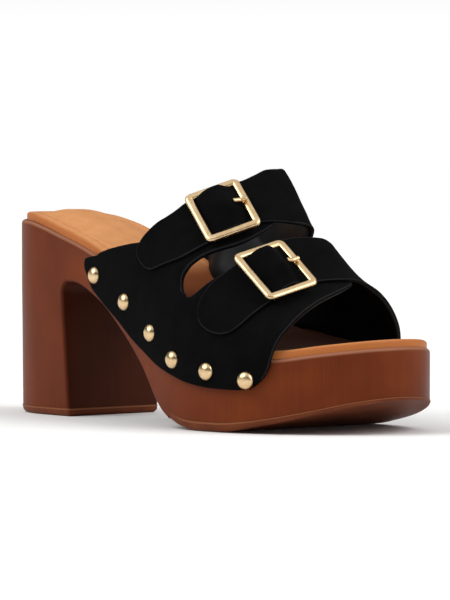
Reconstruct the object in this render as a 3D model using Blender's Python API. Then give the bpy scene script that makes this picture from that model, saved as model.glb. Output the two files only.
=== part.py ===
"""Right-foot platform mule with an open toe, an open back and two buckled straps.

Sizes are in millimetres. While the pieces are shaped, x runs from the heel back (0) to the toe tip,
y is positive on the inner side of the foot and negative on the outer side, z is up from the floor.
The finished shoe is moved so that the middle of its plan lies on the origin.
"""
import math

import bmesh
import bpy
import numpy as np

MM = 0.001
GAP = 0.3
OUTER, INNER = -1, 1

# Sole
HEEL_LENGTH = 50.4
HEEL_FLARE_BACK = 2.5
HEEL_FLARE_BREAST = 2.4
HEEL_SIDE_TAPER = 0.078
HEEL_FLARE_TOP = 60.0
TOP_PIECE = 3.3
OUTSOLE_START = 143.0
TOP_CHAMFER = 1.0
WAIST_CHAMFER = 1.5

# Insole
INSOLE_INSET = 1.3
INSOLE_HEIGHT = 3.2

# Upper
WALL = 2.3
STRAP_LIFT = 1.5
FULLNESS_OUTER = 2.1
FULLNESS_INNER = 2.2
OUTER_SEAM = 145.5
INNER_SEAM = 146.0

# Hardware
STUD_RADIUS = 4.0
STUD_HEIGHT = 2.6
STUD_PROFILE = ((1.0, 0.0), (0.97, 0.25), (0.78, 0.64), (0.42, 0.92))
STUD_SEAT = 0.4
FRAME_LONG = 30.0
FRAME_SHORT = 25.0
FRAME_CORNER = 3.2
BAR_WIDTH = 3.0
BAR_HEIGHT = 2.4
BAR_SQUARENESS = 0.7
PRONG_RADIUS = 0.95
PRONG_LENGTH = 6.5
PRONG_END = 0.9
PRONG_BEND = ((0.0, -1.3), (0.3, -0.55), (0.6, 0.0), (1.0, 0.0))
FRAME_SPAN = (18.0, 20.0)
FRAME_MARGIN = 0.5

# Plan of the sole: x, half width on the outer side, half width on the inner side
PLAN = (
    (0.0, 0.0, 0.0), (1.5, 9.5, 8.6), (4.0, 14.8, 13.8), (8.0, 20.0, 18.8), (15.0, 25.2, 23.6),
    (24.0, 28.4, 26.0), (36.0, 29.6, 26.6), (50.0, 30.2, 25.8), (76.0, 32.2, 23.4), (103.0, 36.5, 22.6),
    (126.0, 41.0, 25.2), (144.0, 44.5, 31.8), (163.0, 46.0, 40.4), (180.0, 44.6, 44.6), (192.0, 41.2, 44.3),
    (208.0, 34.0, 40.5), (222.0, 23.8, 32.5), (230.0, 14.6, 23.6), (234.0, 6.8, 15.6), (236.0, -4.0, 4.0),
)

# Top edge of the sole: x, height
TOP_EDGE = (
    (0, 88.5), (23, 87.5), (34, 85.4), (48, 81.5), (60, 78.2), (76, 73.0), (103, 61.5), (126, 49.0),
    (144, 39.5), (160, 33.6), (175, 31.3), (190, 30.5), (202, 31.0), (218, 33.4), (236, 36.2),
)

# Underside from the heel breast to the toe: x, height
UNDERSIDE = (
    (50.4, 56.5), (52, 59.0), (54.5, 60.2), (60, 60.0), (66, 58.6), (72, 56.2), (84, 50.4), (94, 44.2),
    (102, 38.6), (111, 31.8), (119, 25.0), (125, 18.6), (129, 13.8), (134, 8.8), (139, 5.6), (145, 3.5),
    (150, 1.5), (155, 0.0), (174, 0.0), (182, 0.7), (190, 2.2), (200, 4.2), (207, 5.8), (218, 8.8),
    (229, 12.0), (236, 13.8),
)

# Seam between the sole unit and the outsole: x, height
OUTSOLE_SEAM = (
    (142, 8.6), (148, 5.8), (155, 3.8), (176, 3.8), (190, 4.8), (200, 6.4), (207, 7.8), (218, 10.4),
    (229, 13.6), (236, 15.4),
)

# Side of the outsole and of the heel's top piece: inset from the plan, share of the layer's thickness
LAYER_SIDE = ((0.2, 1.0), (0.0, 0.92), (0.0, 0.6), (0.65, 0.2), (2.1, 0.0))

# Rim and dish of the footbed: inset from its edge, drop below the rim's top
FOOTBED_RIM = ((0.0, 1.5), (0.5, 0.45), (1.7, 0.0))
FOOTBED_DISH = ((7.0, 0.35), (13.0, 0.9))
FOOTBED_FLAT = ((3.0, 0.0), (4.0, 0.0))
DISH_START = 4.0
DISH_END = 232.0

# Lower edge of the upper on the sole's side: x, height
UPPER_HEM = (
    (66, 66.5), (70, 64.2), (75, 60.2), (87, 52.3), (103, 43.4), (115, 36.4), (127, 30.8), (136, 26.8),
    (149, 22.7), (160, 20.0), (175, 18.3), (187, 18.0), (195, 18.6), (206, 20.0),
)

# Sections of the upper: foot station on the sole, height of the arch over the sole's edge,
# forward lean per unit of height, inward shift of the crown, swell of the inner wall
SECTIONS = (
    (60, 62.0, 0.55, 19.0, 7.0), (90, 61.0, 0.50, 19.0, 7.0), (118, 55.0, 0.43, 19.0, 3.0),
    (138, 49.2, 0.42, 14.4, -6.5), (147, 45.8, 0.42, 11.6, -9.0), (155, 42.4, 0.41, 14.3, -4.0),
    (180, 30.2, 0.36, 14.0, -3.5), (210, 22.0, 0.30, 14.0, -2.0),
)

# Girth runs from -1 (hem, outer side) to 0 (sole edge), over the foot from 0 to 180 degrees,
# then from 180 (sole edge, inner side) to 181 (hem). Each edge below is: girth, station.
QUARTER_REAR = (
    (-1, 78.5), (-0.8, 74.6), (-0.55, 72.2), (-0.3, 72.6), (-0.1, 75.6), (0, 78.4), (3, 83.6), (6, 88.4),
    (10, 95.2), (14, 101.5), (17, 106.0), (20, 108.8), (24, 111.3), (30, 114.5), (36, 117.0), (43, 118.5),
    (55, 121.0), (69, 124.0), (76, 126.0),
)
QUARTER_WINDOW_REAR = (
    (20.3, 145.5), (20.6, 143.6), (21.3, 141.8), (22.5, 140.3), (24, 139.0), (26, 138.2), (30, 138.0),
    (35, 139.0), (41, 141.0), (48, 143.8), (54, 145.8), (60, 146.6), (69, 146.0), (76, 144.0),
)
QUARTER_WINDOW_FRONT = (
    (20.3, 145.5), (20.6, 146.8), (21.3, 147.8), (22.5, 148.7), (24, 149.3), (27, 150.0), (30, 150.6),
    (34, 151.4), (40, 152.6), (48, 153.6), (60, 155.0), (76, 156.0), (90, 157.0),
)
QUARTER_FRONT = (
    (-1, 193.0), (-0.8, 196.8), (-0.55, 199.5), (-0.3, 201.0), (0, 201.8), (6, 202.0), (27, 202.0),
    (36, 201.3), (45, 200.0), (54, 198.3), (63, 196.0), (70, 194.0), (76, 191.8), (82, 189.0), (90, 184.0),
)
REAR_STRAP_REAR = (
    (12.9, 113.0), (13.3, 111.0), (14, 109.4), (15, 108.4), (17, 108.0), (20, 108.3), (24, 109.3),
    (29, 111.0), (33, 113.0), (38, 114.6), (43, 115.4), (55, 118.0), (69, 121.0), (75, 120.2), (82, 118.4),
    (92, 118.0), (105, 114.5), (120, 108.0), (136, 99.0), (150, 89.5), (160, 84.0), (170, 79.5),
    (177, 76.5), (180, 75.0), (180.1, 73.0), (180.3, 70.0), (180.55, 69.5), (180.8, 72.0), (181, 76.0),
)
REAR_STRAP_FRONT = (
    (12.9, 116.5), (13.3, 118.5), (14, 120.5), (15, 122.2), (17, 124.2), (20, 126.6), (24, 129.8),
    (29, 133.2), (36, 136.2), (45, 138.8), (55, 140.5), (67, 142.2), (80, 145.0), (95, 147.0), (110, 147.5),
    (120, 147.0), (130, 145.5), (140, 143.0), (148, 141.0), (153, 140.4), (156, 141.0), (158, 142.4),
    (159, 144.0), (159.6, 146.0),
)
FRONT_STRAP_REAR = (
    (13.9, 169.0), (14.2, 166.5), (15, 163.5), (16, 161.5), (17.5, 159.6), (20, 157.2), (23, 155.5),
    (27, 154.3), (34, 153.6), (40, 154.0), (47, 154.2), (60, 153.3), (74, 152.5), (81, 153.0), (89, 154.0),
    (100, 155.5), (120, 156.5), (140, 156.0), (148, 155.0), (153, 153.6), (156, 152.0), (158, 150.0),
    (159, 148.2), (159.6, 146.0),
)
FRONT_STRAP_FRONT = (
    (13.9, 172.0), (14.2, 175.0), (15, 177.2), (17, 179.6), (20, 181.3), (23, 182.2), (32, 183.0),
    (41, 183.2), (55, 182.5), (73, 181.5), (82, 182.5), (100, 184.5), (120, 186.5), (140, 188.0),
    (155, 188.2), (170, 188.0), (180, 187.6), (180.3, 187.4), (180.55, 186.6), (180.8, 184.8), (181, 181.5),
)

# Where each strap leaves the quarter below it and settles on the foot: girth at full lift, girth at none
REAR_STRAP_SETTLE = (72.0, 100.0)
FRONT_STRAP_SETTLE = (86.0, 112.0)

# Studs along the hem: outer station, outer height, inner station, inner height
STUDS = (
    (81.5, 63.6, 81.0, 63.6), (108.3, 52.6, 105.0, 52.5), (131.8, 40.0, 126.0, 40.5),
    (150.1, 29.4, 143.5, 32.0), (172.2, 25.3, 161.0, 26.0), (191.5, 22.2, 179.0, 24.0),
)

# Buckles: name, outer bar (station, girth), inner bar (station, girth)
BUCKLES = (
    ("rear_buckle", (129.0, 45.0), (133.5, 64.0)),
    ("front_buckle", (168.9, 46.4), (170.7, 69.4)),
)


def monotone(table, x):
    """Smooth curve through a table's rows that never swings past them."""
    rows = np.asarray(table, float)
    px, py = rows[:, 0], rows[:, 1]
    x = np.clip(np.asarray(x, float), px[0], px[-1])
    step = np.diff(px)
    slope = np.diff(py) / step
    tangent = np.empty_like(px)
    tangent[0], tangent[-1] = slope[0], slope[-1]
    left, right = slope[:-1], slope[1:]
    w1 = 2 * step[1:] + step[:-1]
    w2 = step[1:] + 2 * step[:-1]
    same = left * right > 0
    safe_left = np.where(same, left, 1.0)
    safe_right = np.where(same, right, 1.0)
    tangent[1:-1] = np.where(same, (w1 + w2) / (w1 / safe_left + w2 / safe_right), 0.0)
    i = np.clip(np.searchsorted(px, x, side="right") - 1, 0, len(step) - 1)
    t = (x - px[i]) / step[i]
    a = (1 + 2 * t) * (1 - t) ** 2 * py[i] + t * (1 - t) ** 2 * step[i] * tangent[i]
    b = t * t * (3 - 2 * t) * py[i + 1] + t * t * (t - 1) * step[i] * tangent[i + 1]
    return a + b


def plan_curve(per_row=24):
    """Closed smooth curve round the sole's plan, returned as its outer and inner halves."""
    rows = np.asarray(PLAN, float)
    outer = np.column_stack([rows[:, 0], -rows[:, 1]])
    inner = np.column_stack([rows[:, 0], rows[:, 2]])
    loop = np.vstack([outer, inner[-2:0:-1]])
    count = len(loop)
    before, after, last = np.roll(loop, 1, 0), np.roll(loop, -1, 0), np.roll(loop, -2, 0)
    k0 = np.sqrt(np.linalg.norm(loop - before, axis=1))[:, None]
    k1 = np.sqrt(np.linalg.norm(after - loop, axis=1))[:, None]
    k2 = np.sqrt(np.linalg.norm(last - after, axis=1))[:, None]
    m1 = k1 * ((loop - before) / k0 - (after - before) / (k0 + k1) + (after - loop) / k1)
    m2 = k1 * ((after - loop) / k1 - (last - loop) / (k1 + k2) + (last - after) / k2)
    t = np.linspace(0, 1, per_row, endpoint=False)[:, None, None]
    pts = ((2 * t ** 3 - 3 * t ** 2 + 1) * loop + (t ** 3 - 2 * t ** 2 + t) * m1
           + (3 * t ** 2 - 2 * t ** 3) * after + (t ** 3 - t ** 2) * m2)
    dense = pts.transpose(1, 0, 2).reshape(count * per_row, 2)
    toe = (len(rows) - 1) * per_row
    outer_half = dense[:toe + 1]
    inner_half = np.vstack([dense[toe:], dense[:1]])[::-1]
    return outer_half, inner_half


PLAN_OUTER, PLAN_INNER = plan_curve()


def half_of(side):
    return PLAN_OUTER if side == OUTER else PLAN_INNER


def plan_y(x, side):
    half = half_of(side)
    return np.interp(x, half[:, 0], half[:, 1])


def plan_normal(x, side):
    """Outward direction of the plan curve at a station."""
    half = half_of(side)
    tangent = np.gradient(half, axis=0)
    tangent[0] = (0.0, side)
    tangent[-1] = (0.0, -side)
    tangent /= np.linalg.norm(tangent, axis=1)[:, None]
    tx = np.interp(x, half[:, 0], tangent[:, 0])
    ty = np.interp(x, half[:, 0], tangent[:, 1])
    normal = np.array([-ty, tx]) * side
    return normal / np.linalg.norm(normal)


def top_z(x):
    return monotone(TOP_EDGE, x)


def under_z(x):
    return monotone(UNDERSIDE, x)


def seam_z(x):
    return monotone(OUTSOLE_SEAM, x)


def surface(station, girth):
    """Inner face of the upper: straight up the sole's side, then a leaning arch over the foot."""
    s, g = np.broadcast_arrays(np.asarray(station, float), np.asarray(girth, float))
    rows = np.asarray(SECTIONS, float)
    height = monotone(rows[:, (0, 1)], s)
    lean = monotone(rows[:, (0, 2)], s)
    crown = monotone(rows[:, (0, 3)], s)
    swell = monotone(rows[:, (0, 4)], s)
    edge = top_z(s)
    hem = monotone(UPPER_HEM, s)
    outer = plan_y(s, OUTER) - GAP
    inner = plan_y(s, INNER) + GAP
    angle = np.radians(np.clip(g, 0, 180))
    across = np.cos(angle)
    on_inner = across < 0
    power = 2.0 / np.where(on_inner, FULLNESS_INNER, FULLNESS_OUTER)
    reach = np.abs(across) ** power
    rise = height * np.abs(np.sin(angle)) ** power
    y = np.where(on_inner, crown + (inner - crown) * reach, crown + (outer - crown) * reach)
    y = y + np.where(on_inner, swell * np.sin(2 * angle) ** 2, 0.0)
    drop = (np.clip(-g, 0, 1) + np.clip(g - 180, 0, 1)) * (edge - hem)
    return np.stack([s + lean * rise, y, edge + rise - drop], axis=-1)


def surface_normal(station, girth):
    """Outward direction of the upper's face."""
    g = np.asarray(girth, float)
    step = np.where((g > 0.5) & (g < 179.5), 0.4, 0.02)
    along = surface(np.asarray(station, float) + 0.4, g) - surface(np.asarray(station, float) - 0.4, g)
    round_foot = surface(station, g + step) - surface(station, g - step)
    normal = np.cross(along, round_foot)
    return normal / np.linalg.norm(normal, axis=-1, keepdims=True)


def on_upper(station, girth, lift):
    lift = np.asarray(lift, float)[..., None]
    return surface(station, girth) + surface_normal(station, girth) * lift


def add_object(name, points, faces, material):
    """Closed mesh from points in millimetres, with outward faces."""
    mesh = bpy.data.meshes.new(name)
    bm = bmesh.new()
    verts = [bm.verts.new(tuple(p)) for p in np.asarray(points, float) * MM]
    for face in faces:
        if len(set(face)) > 2:
            bm.faces.new([verts[i] for i in dict.fromkeys(face)])
    bmesh.ops.remove_doubles(bm, verts=bm.verts[:], dist=1e-6)
    bmesh.ops.dissolve_degenerate(bm, edges=bm.edges[:], dist=1e-7)
    bmesh.ops.triangulate(bm, faces=bm.faces[:])
    bmesh.ops.recalc_face_normals(bm, faces=bm.faces[:])
    bm.to_mesh(mesh)
    bm.free()
    obj = bpy.data.objects.new(name, mesh)
    bpy.context.scene.collection.objects.link(obj)
    obj.data.materials.append(material)
    return obj


def add_material(name, colour, roughness, metallic=0.0):
    material = bpy.data.materials.new(name)
    material.use_nodes = True
    shader = material.node_tree.nodes["Principled BSDF"]
    shader.inputs["Base Color"].default_value = (*colour, 1.0)
    shader.inputs["Roughness"].default_value = roughness
    shader.inputs["Metallic"].default_value = metallic
    return material


def heel_flare(point):
    """Heel block spreads a little backwards and narrows a little towards the floor."""
    x, y, z = point
    low = min(max(1 - z / HEEL_FLARE_TOP, 0.0), 1.0)
    part = x / HEEL_LENGTH
    x = x + low * (HEEL_FLARE_BREAST * part - HEEL_FLARE_BACK * (1 - part))
    return (x, y * (1 - HEEL_SIDE_TAPER * low), z)


def station_loop(x, levels, flare=False):
    """Points of both sides at one station; each level is (inset from the plan, height)."""
    pair = []
    for side in (OUTER, INNER):
        base = np.array([x, float(plan_y(x, side))])
        normal = plan_normal(x, side)
        pts = [(*(base - inset * normal), z) for inset, z in levels]
        pair.append([heel_flare(p) for p in pts] if flare else pts)
    return pair


def add_layered(name, stations, material):
    """Solid between stations of equal level counts, closed by its first and last level."""
    points, faces = [], []
    depth = len(stations[0][0])
    for outer, inner in stations:
        points.extend(outer)
        points.extend(inner)

    def index(row, side, level):
        return row * 2 * depth + side * depth + level

    for row in range(len(stations) - 1):
        for level in range(depth - 1):
            for side in (0, 1):
                quad = [index(row, side, level), index(row, side, level + 1),
                        index(row + 1, side, level + 1), index(row + 1, side, level)]
                faces.append(quad)
        for level in (0, depth - 1):
            faces.append([index(row, 0, level), index(row, 1, level),
                          index(row + 1, 1, level), index(row + 1, 0, level)])
    for row in (0, len(stations) - 1):
        outer, inner = stations[row]
        if np.linalg.norm(np.subtract(outer[0], inner[0])) > 1.0:
            ring = [index(row, 0, k) for k in range(depth)]
            ring += [index(row, 1, k) for k in reversed(range(depth))]
            faces.append(ring)
    return add_object(name, points, faces, material)


HEEL_STATIONS = (0, 0.7, 2.2, 4.6, 8, 12.5, 18, 25, 33, 42, HEEL_LENGTH)
WAIST_STATIONS = (HEEL_LENGTH + 0.2, 51.4, 53, 56, 60, 66, 72, 78, 84, 90, 96, 102, 108, 114, 119, 123,
                  127, 130.5, 134, 138, OUTSOLE_START - 0.2)
FORE_STATIONS = (OUTSOLE_START, 148, 154, 160, 167, 174, 182, 190, 197, 203, 209, 215, 220.5, 225.5,
                 229.5, 232.6, 234.6, 235.6, 236)


def upper_levels(x, low):
    """Levels of the sole's side from its chamfered top edge down to a lower limit."""
    high = float(top_z(x))
    return [(TOP_CHAMFER, high), (0.0, high - TOP_CHAMFER), (0.0, (high + low) / 2), (0.0, low)]


def build_sole(material, edge_material):
    """Sole unit with its heel and arch, the outsole layer and the heel's top piece."""
    stations = []
    for x in HEEL_STATIONS:
        levels = upper_levels(x, TOP_PIECE + GAP)
        levels.insert(3, (0.0, HEEL_FLARE_TOP - 20))
        levels[2] = (0.0, HEEL_FLARE_TOP)
        stations.append(station_loop(x, levels + [(0.0, TOP_PIECE + GAP)], flare=True))
    for x in WAIST_STATIONS:
        low = float(under_z(x))
        high = float(top_z(x))
        levels = upper_levels(x, low + WAIST_CHAMFER)
        levels.insert(3, (0.0, low + WAIST_CHAMFER + 0.2 * (high - low)))
        stations.append(station_loop(x, levels + [(WAIST_CHAMFER, low)]))
    for x in FORE_STATIONS:
        low = float(seam_z(x)) + GAP
        high = float(top_z(x))
        levels = upper_levels(x, low)
        levels.insert(3, (0.0, low + 0.2 * (high - low)))
        stations.append(station_loop(x, levels + [(0.5, low)]))
    add_layered("sole_unit", stations, material)

    stations = []
    for x in (OUTSOLE_START + 0.9,) + FORE_STATIONS[1:]:
        low = float(under_z(x))
        depth = float(seam_z(x)) - low
        levels = [(inset, low + share * depth) for inset, share in LAYER_SIDE]
        stations.append(station_loop(x, levels))
    add_layered("forefoot_outsole", stations, edge_material)

    stations = []
    for x in HEEL_STATIONS:
        levels = [(inset, share * TOP_PIECE) for inset, share in LAYER_SIDE]
        stations.append(station_loop(x, levels, flare=True))
    add_layered("heel_top_piece", stations, edge_material)


def build_insole(material):
    """Footbed with a rounded rim and a slight dish along its middle."""
    stations = []
    for x in HEEL_STATIONS + WAIST_STATIONS[1:-1] + FORE_STATIONS:
        base = float(top_z(x)) + GAP
        rim = base + INSOLE_HEIGHT
        middle = FOOTBED_DISH if DISH_START < x < DISH_END else FOOTBED_FLAT
        levels = [(INSOLE_INSET, base)]
        levels += [(INSOLE_INSET + inset, rim - drop) for inset, drop in FOOTBED_RIM + middle]
        stations.append(station_loop(x, levels))
    add_layered("insole", stations, material)


def strip(rear, front, girths, columns):
    """Rows of (station, girth) between two edges of a panel."""
    start, stop = monotone(rear, girths), monotone(front, girths)
    t = np.linspace(0, 1, columns + 1)
    stations = start[:, None] + (stop - start)[:, None] * t
    return np.stack([stations, np.broadcast_to(np.asarray(girths, float)[:, None], stations.shape)], -1)


def add_panel(name, strips, lift, thickness, material):
    """Leather panel: strips welded where they share an edge, given thickness away from the foot."""
    params, faces, known = [], [], {}
    for grid in strips:
        ids = np.empty(grid.shape[:2], int)
        for r in range(grid.shape[0]):
            for c in range(grid.shape[1]):
                key = (round(float(grid[r, c, 0]), 3), round(float(grid[r, c, 1]), 3))
                if key not in known:
                    known[key] = len(params)
                    params.append(grid[r, c])
                ids[r, c] = known[key]
        for r in range(grid.shape[0] - 1):
            for c in range(grid.shape[1] - 1):
                quad = list(dict.fromkeys([ids[r, c], ids[r, c + 1], ids[r + 1, c + 1], ids[r + 1, c]]))
                if len(quad) > 2:
                    faces.append([int(i) for i in quad])
    params = np.array(params)
    low = lift(params[:, 0], params[:, 1])
    inside = on_upper(params[:, 0], params[:, 1], low)
    outside = on_upper(params[:, 0], params[:, 1], low + thickness)
    count = len(params)
    edges = {}
    for face in faces:
        for a, b in zip(face, face[1:] + face[:1]):
            edges[(a, b)] = edges.get((a, b), 0) + 1
    rim = [[a, b, b + count, a + count] for a, b in edges if (b, a) not in edges]
    shell = [[i + count for i in face] for face in faces] + [face[::-1] for face in faces]
    return add_object(name, np.vstack([inside, outside]), shell + rim, material)


def girth_rows(*spans):
    """Girths of the rows: each span is (start, stop, number of steps)."""
    rows = [np.linspace(a, b, n, endpoint=False) for a, b, n in spans]
    return np.append(np.concatenate(rows), spans[-1][1])


def build_upper(material):
    """Quarter on the outer side and vamp with two straps on the inner side, joined where they cross."""
    shared = girth_rows((-1, 0, 7), (0, 20.3, 6))
    window = girth_rows((20.3, 21.3, 3), (21.3, 26, 3), (26, 76, 12))
    rear_rows = np.concatenate([shared[:-1], window])
    front_rows = np.concatenate([rear_rows, [81, 86, 90]])
    seam = ((-1, OUTER_SEAM), (20.29, OUTER_SEAM))
    quarter_strips = [
        strip(QUARTER_REAR, seam + QUARTER_WINDOW_REAR, rear_rows, 7),
        strip(seam + QUARTER_WINDOW_FRONT, QUARTER_FRONT, front_rows, 7),
    ]
    upper = add_panel("upper", quarter_strips, lambda s, g: 0.0 * s, WALL, material)

    tip = girth_rows((12.9, 15, 4), (15, 20, 3), (20, 153, 28))
    front_tip = girth_rows((13.9, 15, 3), (15, 20, 4), (20, 153, 28))
    closing = girth_rows((153, 159.6, 6), (159.6, 180, 5), (180, 181, 7))
    seam = ((159.61, INNER_SEAM), (181, INNER_SEAM))
    strap_strips = [
        strip(REAR_STRAP_REAR, REAR_STRAP_FRONT + seam, np.concatenate([tip[:-1], closing]), 8),
        strip(FRONT_STRAP_REAR + seam, FRONT_STRAP_FRONT, np.concatenate([front_tip[:-1], closing]), 6),
    ]

    def strap_lift(stations, girths):
        settle = np.where((stations < 150)[:, None], REAR_STRAP_SETTLE, FRONT_STRAP_SETTLE)
        t = np.clip((girths - settle[:, 0]) / (settle[:, 1] - settle[:, 0]), 0, 1)
        return STRAP_LIFT * (1 - t * t * (3 - 2 * t))

    straps = add_panel("straps", strap_strips, strap_lift, WALL, material)
    join = upper.modifiers.new("join", "BOOLEAN")
    join.operation = "UNION"
    join.solver = "EXACT"
    join.object = straps
    graph = bpy.context.evaluated_depsgraph_get()
    joined = bpy.data.meshes.new_from_object(upper.evaluated_get(graph))
    upper.modifiers.remove(join)
    upper.data = joined
    bpy.data.objects.remove(straps)
    return upper


def basis(normal, hint):
    """Right-handed directions with the given normal and one axis near the hint."""
    normal = normal / np.linalg.norm(normal)
    along = hint - normal * (hint @ normal)
    along = along / np.linalg.norm(along)
    return along, np.cross(normal, along), normal


def build_studs(material, segments=12):
    """Domed studs that hold the hem to the sole's side."""
    profile = [(share * STUD_RADIUS, rise * STUD_HEIGHT) for share, rise in STUD_PROFILE]
    turn = np.arange(segments) * 2 * math.pi / segments
    for side, label in ((OUTER, "outer"), (INNER, "inner")):
        for number, row in enumerate(STUDS, 1):
            station, height = row[:2] if side == OUTER else row[2:]
            edge, hem = float(top_z(station)), float(monotone(UPPER_HEM, station))
            share = (edge - height) / (edge - hem)
            girth = -share if side == OUTER else 180 + share
            centre = on_upper(station, girth, WALL + STUD_SEAT)
            u, v, n = basis(surface_normal(station, girth), np.array([0.0, 0.0, 1.0]))
            ring = [math.cos(a) * u + math.sin(a) * v for a in turn]
            points = [centre + r * spoke + h * n for r, h in profile for spoke in ring]
            points.append(centre + STUD_HEIGHT * n)
            faces = [list(range(segments))[::-1]]
            for level in range(len(profile) - 1):
                for k in range(segments):
                    a, b = level * segments + k, level * segments + (k + 1) % segments
                    faces.append([a, b, b + segments, a + segments])
            last = (len(profile) - 1) * segments
            faces += [[last + k, last + (k + 1) % segments, len(points) - 1] for k in range(segments)]
            add_object(f"stud_{label}_{number}", points, faces, material)


def rounded_rectangle(width, depth, radius, per_corner=5):
    """Closed path of a rectangle with rounded corners, with its outward directions."""
    path, outward = [], []
    for quarter, (sx, sy) in enumerate(((1, 1), (-1, 1), (-1, -1), (1, -1))):
        for k in range(per_corner):
            a = (quarter + k / (per_corner - 1)) * math.pi / 2
            path.append((sx * (width / 2 - radius) + radius * math.cos(a),
                         sy * (depth / 2 - radius) + radius * math.sin(a)))
            outward.append((math.cos(a), math.sin(a)))
    return np.array(path), np.array(outward)


def add_tube(name, centres, side_axes, up_axes, half_width, half_height, material, closed, segments=8):
    """Rounded bar along a path with an oval section."""
    turn = np.arange(segments) * 2 * math.pi / segments + math.pi / segments
    across = np.sign(np.cos(turn)) * np.abs(np.cos(turn)) ** BAR_SQUARENESS * half_width
    upward = np.sign(np.sin(turn)) * np.abs(np.sin(turn)) ** BAR_SQUARENESS * half_height
    points = (centres[:, None] + across[None, :, None] * side_axes[:, None]
              + upward[None, :, None] * up_axes[:, None]).reshape(-1, 3)
    count = len(centres)
    faces = []
    for r in range(count if closed else count - 1):
        for k in range(segments):
            a, b = r * segments + k, r * segments + (k + 1) % segments
            c, d = ((r + 1) % count) * segments + (k + 1) % segments, ((r + 1) % count) * segments + k
            faces.append([a, b, c, d])
    if not closed:
        faces += [list(range(segments))[::-1], list(range((count - 1) * segments, count * segments))]
    return add_object(name, points, faces, material)


def build_buckles(material):
    """Square frames that rest on the straps' highest points under them, with a prong on the inner bar."""
    top = STRAP_LIFT + WALL
    for name, outer_bar, inner_bar in BUCKLES:
        low, high = on_upper(*outer_bar, top), on_upper(*inner_bar, top)
        middle = ((outer_bar[0] + inner_bar[0]) / 2, (outer_bar[1] + inner_bar[1]) / 2)
        v, w, n = basis(surface_normal(*middle), high - low)
        u = -w
        origin = on_upper(*middle, top)
        stations = np.linspace(middle[0] - FRAME_SPAN[0], middle[0] + FRAME_SPAN[0], 31)
        girths = np.linspace(middle[1] - FRAME_SPAN[1], middle[1] + FRAME_SPAN[1], 31)
        s, g = np.meshgrid(stations, girths)
        skin = on_upper(s.ravel(), g.ravel(), np.full(s.size, top)) - origin
        past_u = np.abs(skin @ u) - FRAME_LONG / 2
        past_v = np.abs(skin @ v) - FRAME_SHORT / 2
        outside = np.maximum(past_u, past_v)
        under = (outside < FRAME_MARGIN) & (outside > -BAR_WIDTH - FRAME_MARGIN)
        base = float((skin @ n)[under].max()) + GAP
        path, outward = rounded_rectangle(FRAME_LONG - BAR_WIDTH, FRAME_SHORT - BAR_WIDTH,
                                          FRAME_CORNER - BAR_WIDTH / 2)
        centres = origin + path[:, :1] * u + path[:, 1:] * v + (base + BAR_HEIGHT / 2) * n
        sides = outward[:, :1] * u + outward[:, 1:] * v
        ups = np.broadcast_to(n, centres.shape)
        add_tube(name + "_frame", centres, sides, ups, BAR_WIDTH / 2, BAR_HEIGHT / 2, material, True)

        over = base + BAR_HEIGHT + GAP + PRONG_RADIUS
        reach = FRAME_SHORT / 2 - PRONG_END
        bend = np.array(PRONG_BEND)
        along = reach - PRONG_LENGTH * (1 - bend[:, 0])
        rise = over - bend[:, 1]
        centres = origin + along[:, None] * v + rise[:, None] * n
        sides = np.broadcast_to(u, centres.shape)
        ups = np.broadcast_to(n, centres.shape)
        add_tube(name + "_prong", centres, sides, ups, PRONG_RADIUS, PRONG_RADIUS, material, False)


def centre_on_floor():
    """Move the whole shoe so the middle of its box stands on the origin."""
    meshes = [obj.data for obj in bpy.data.objects if obj.type == "MESH"]
    boxes = []
    for mesh in meshes:
        flat = np.empty(len(mesh.vertices) * 3)
        mesh.vertices.foreach_get("co", flat)
        boxes.append(flat.reshape(-1, 3))
    points = np.vstack(boxes)
    low, high = points.min(0), points.max(0)
    shift = np.array([(low[0] + high[0]) / 2, (low[1] + high[1]) / 2, low[2]])
    for mesh, pts in zip(meshes, boxes):
        mesh.vertices.foreach_set("co", (pts - shift).ravel())
        mesh.update()


def main():
    for obj in list(bpy.data.objects):
        bpy.data.objects.remove(obj)
    brown = add_material("moulded_sole", (0.16, 0.045, 0.018), 0.45)
    dark_brown = add_material("sole_edge", (0.15, 0.042, 0.017), 0.5)
    tan = add_material("footbed_leather", (0.56, 0.25, 0.11), 0.55)
    suede = add_material("black_suede", (0.006, 0.006, 0.007), 0.9)
    gold = add_material("pale_gold", (0.82, 0.62, 0.36), 0.22, 1.0)
    build_sole(brown, dark_brown)
    build_insole(tan)
    build_upper(suede)
    build_studs(gold)
    build_buckles(gold)
    centre_on_floor()


if __name__ == "__main__":
    main()
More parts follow.
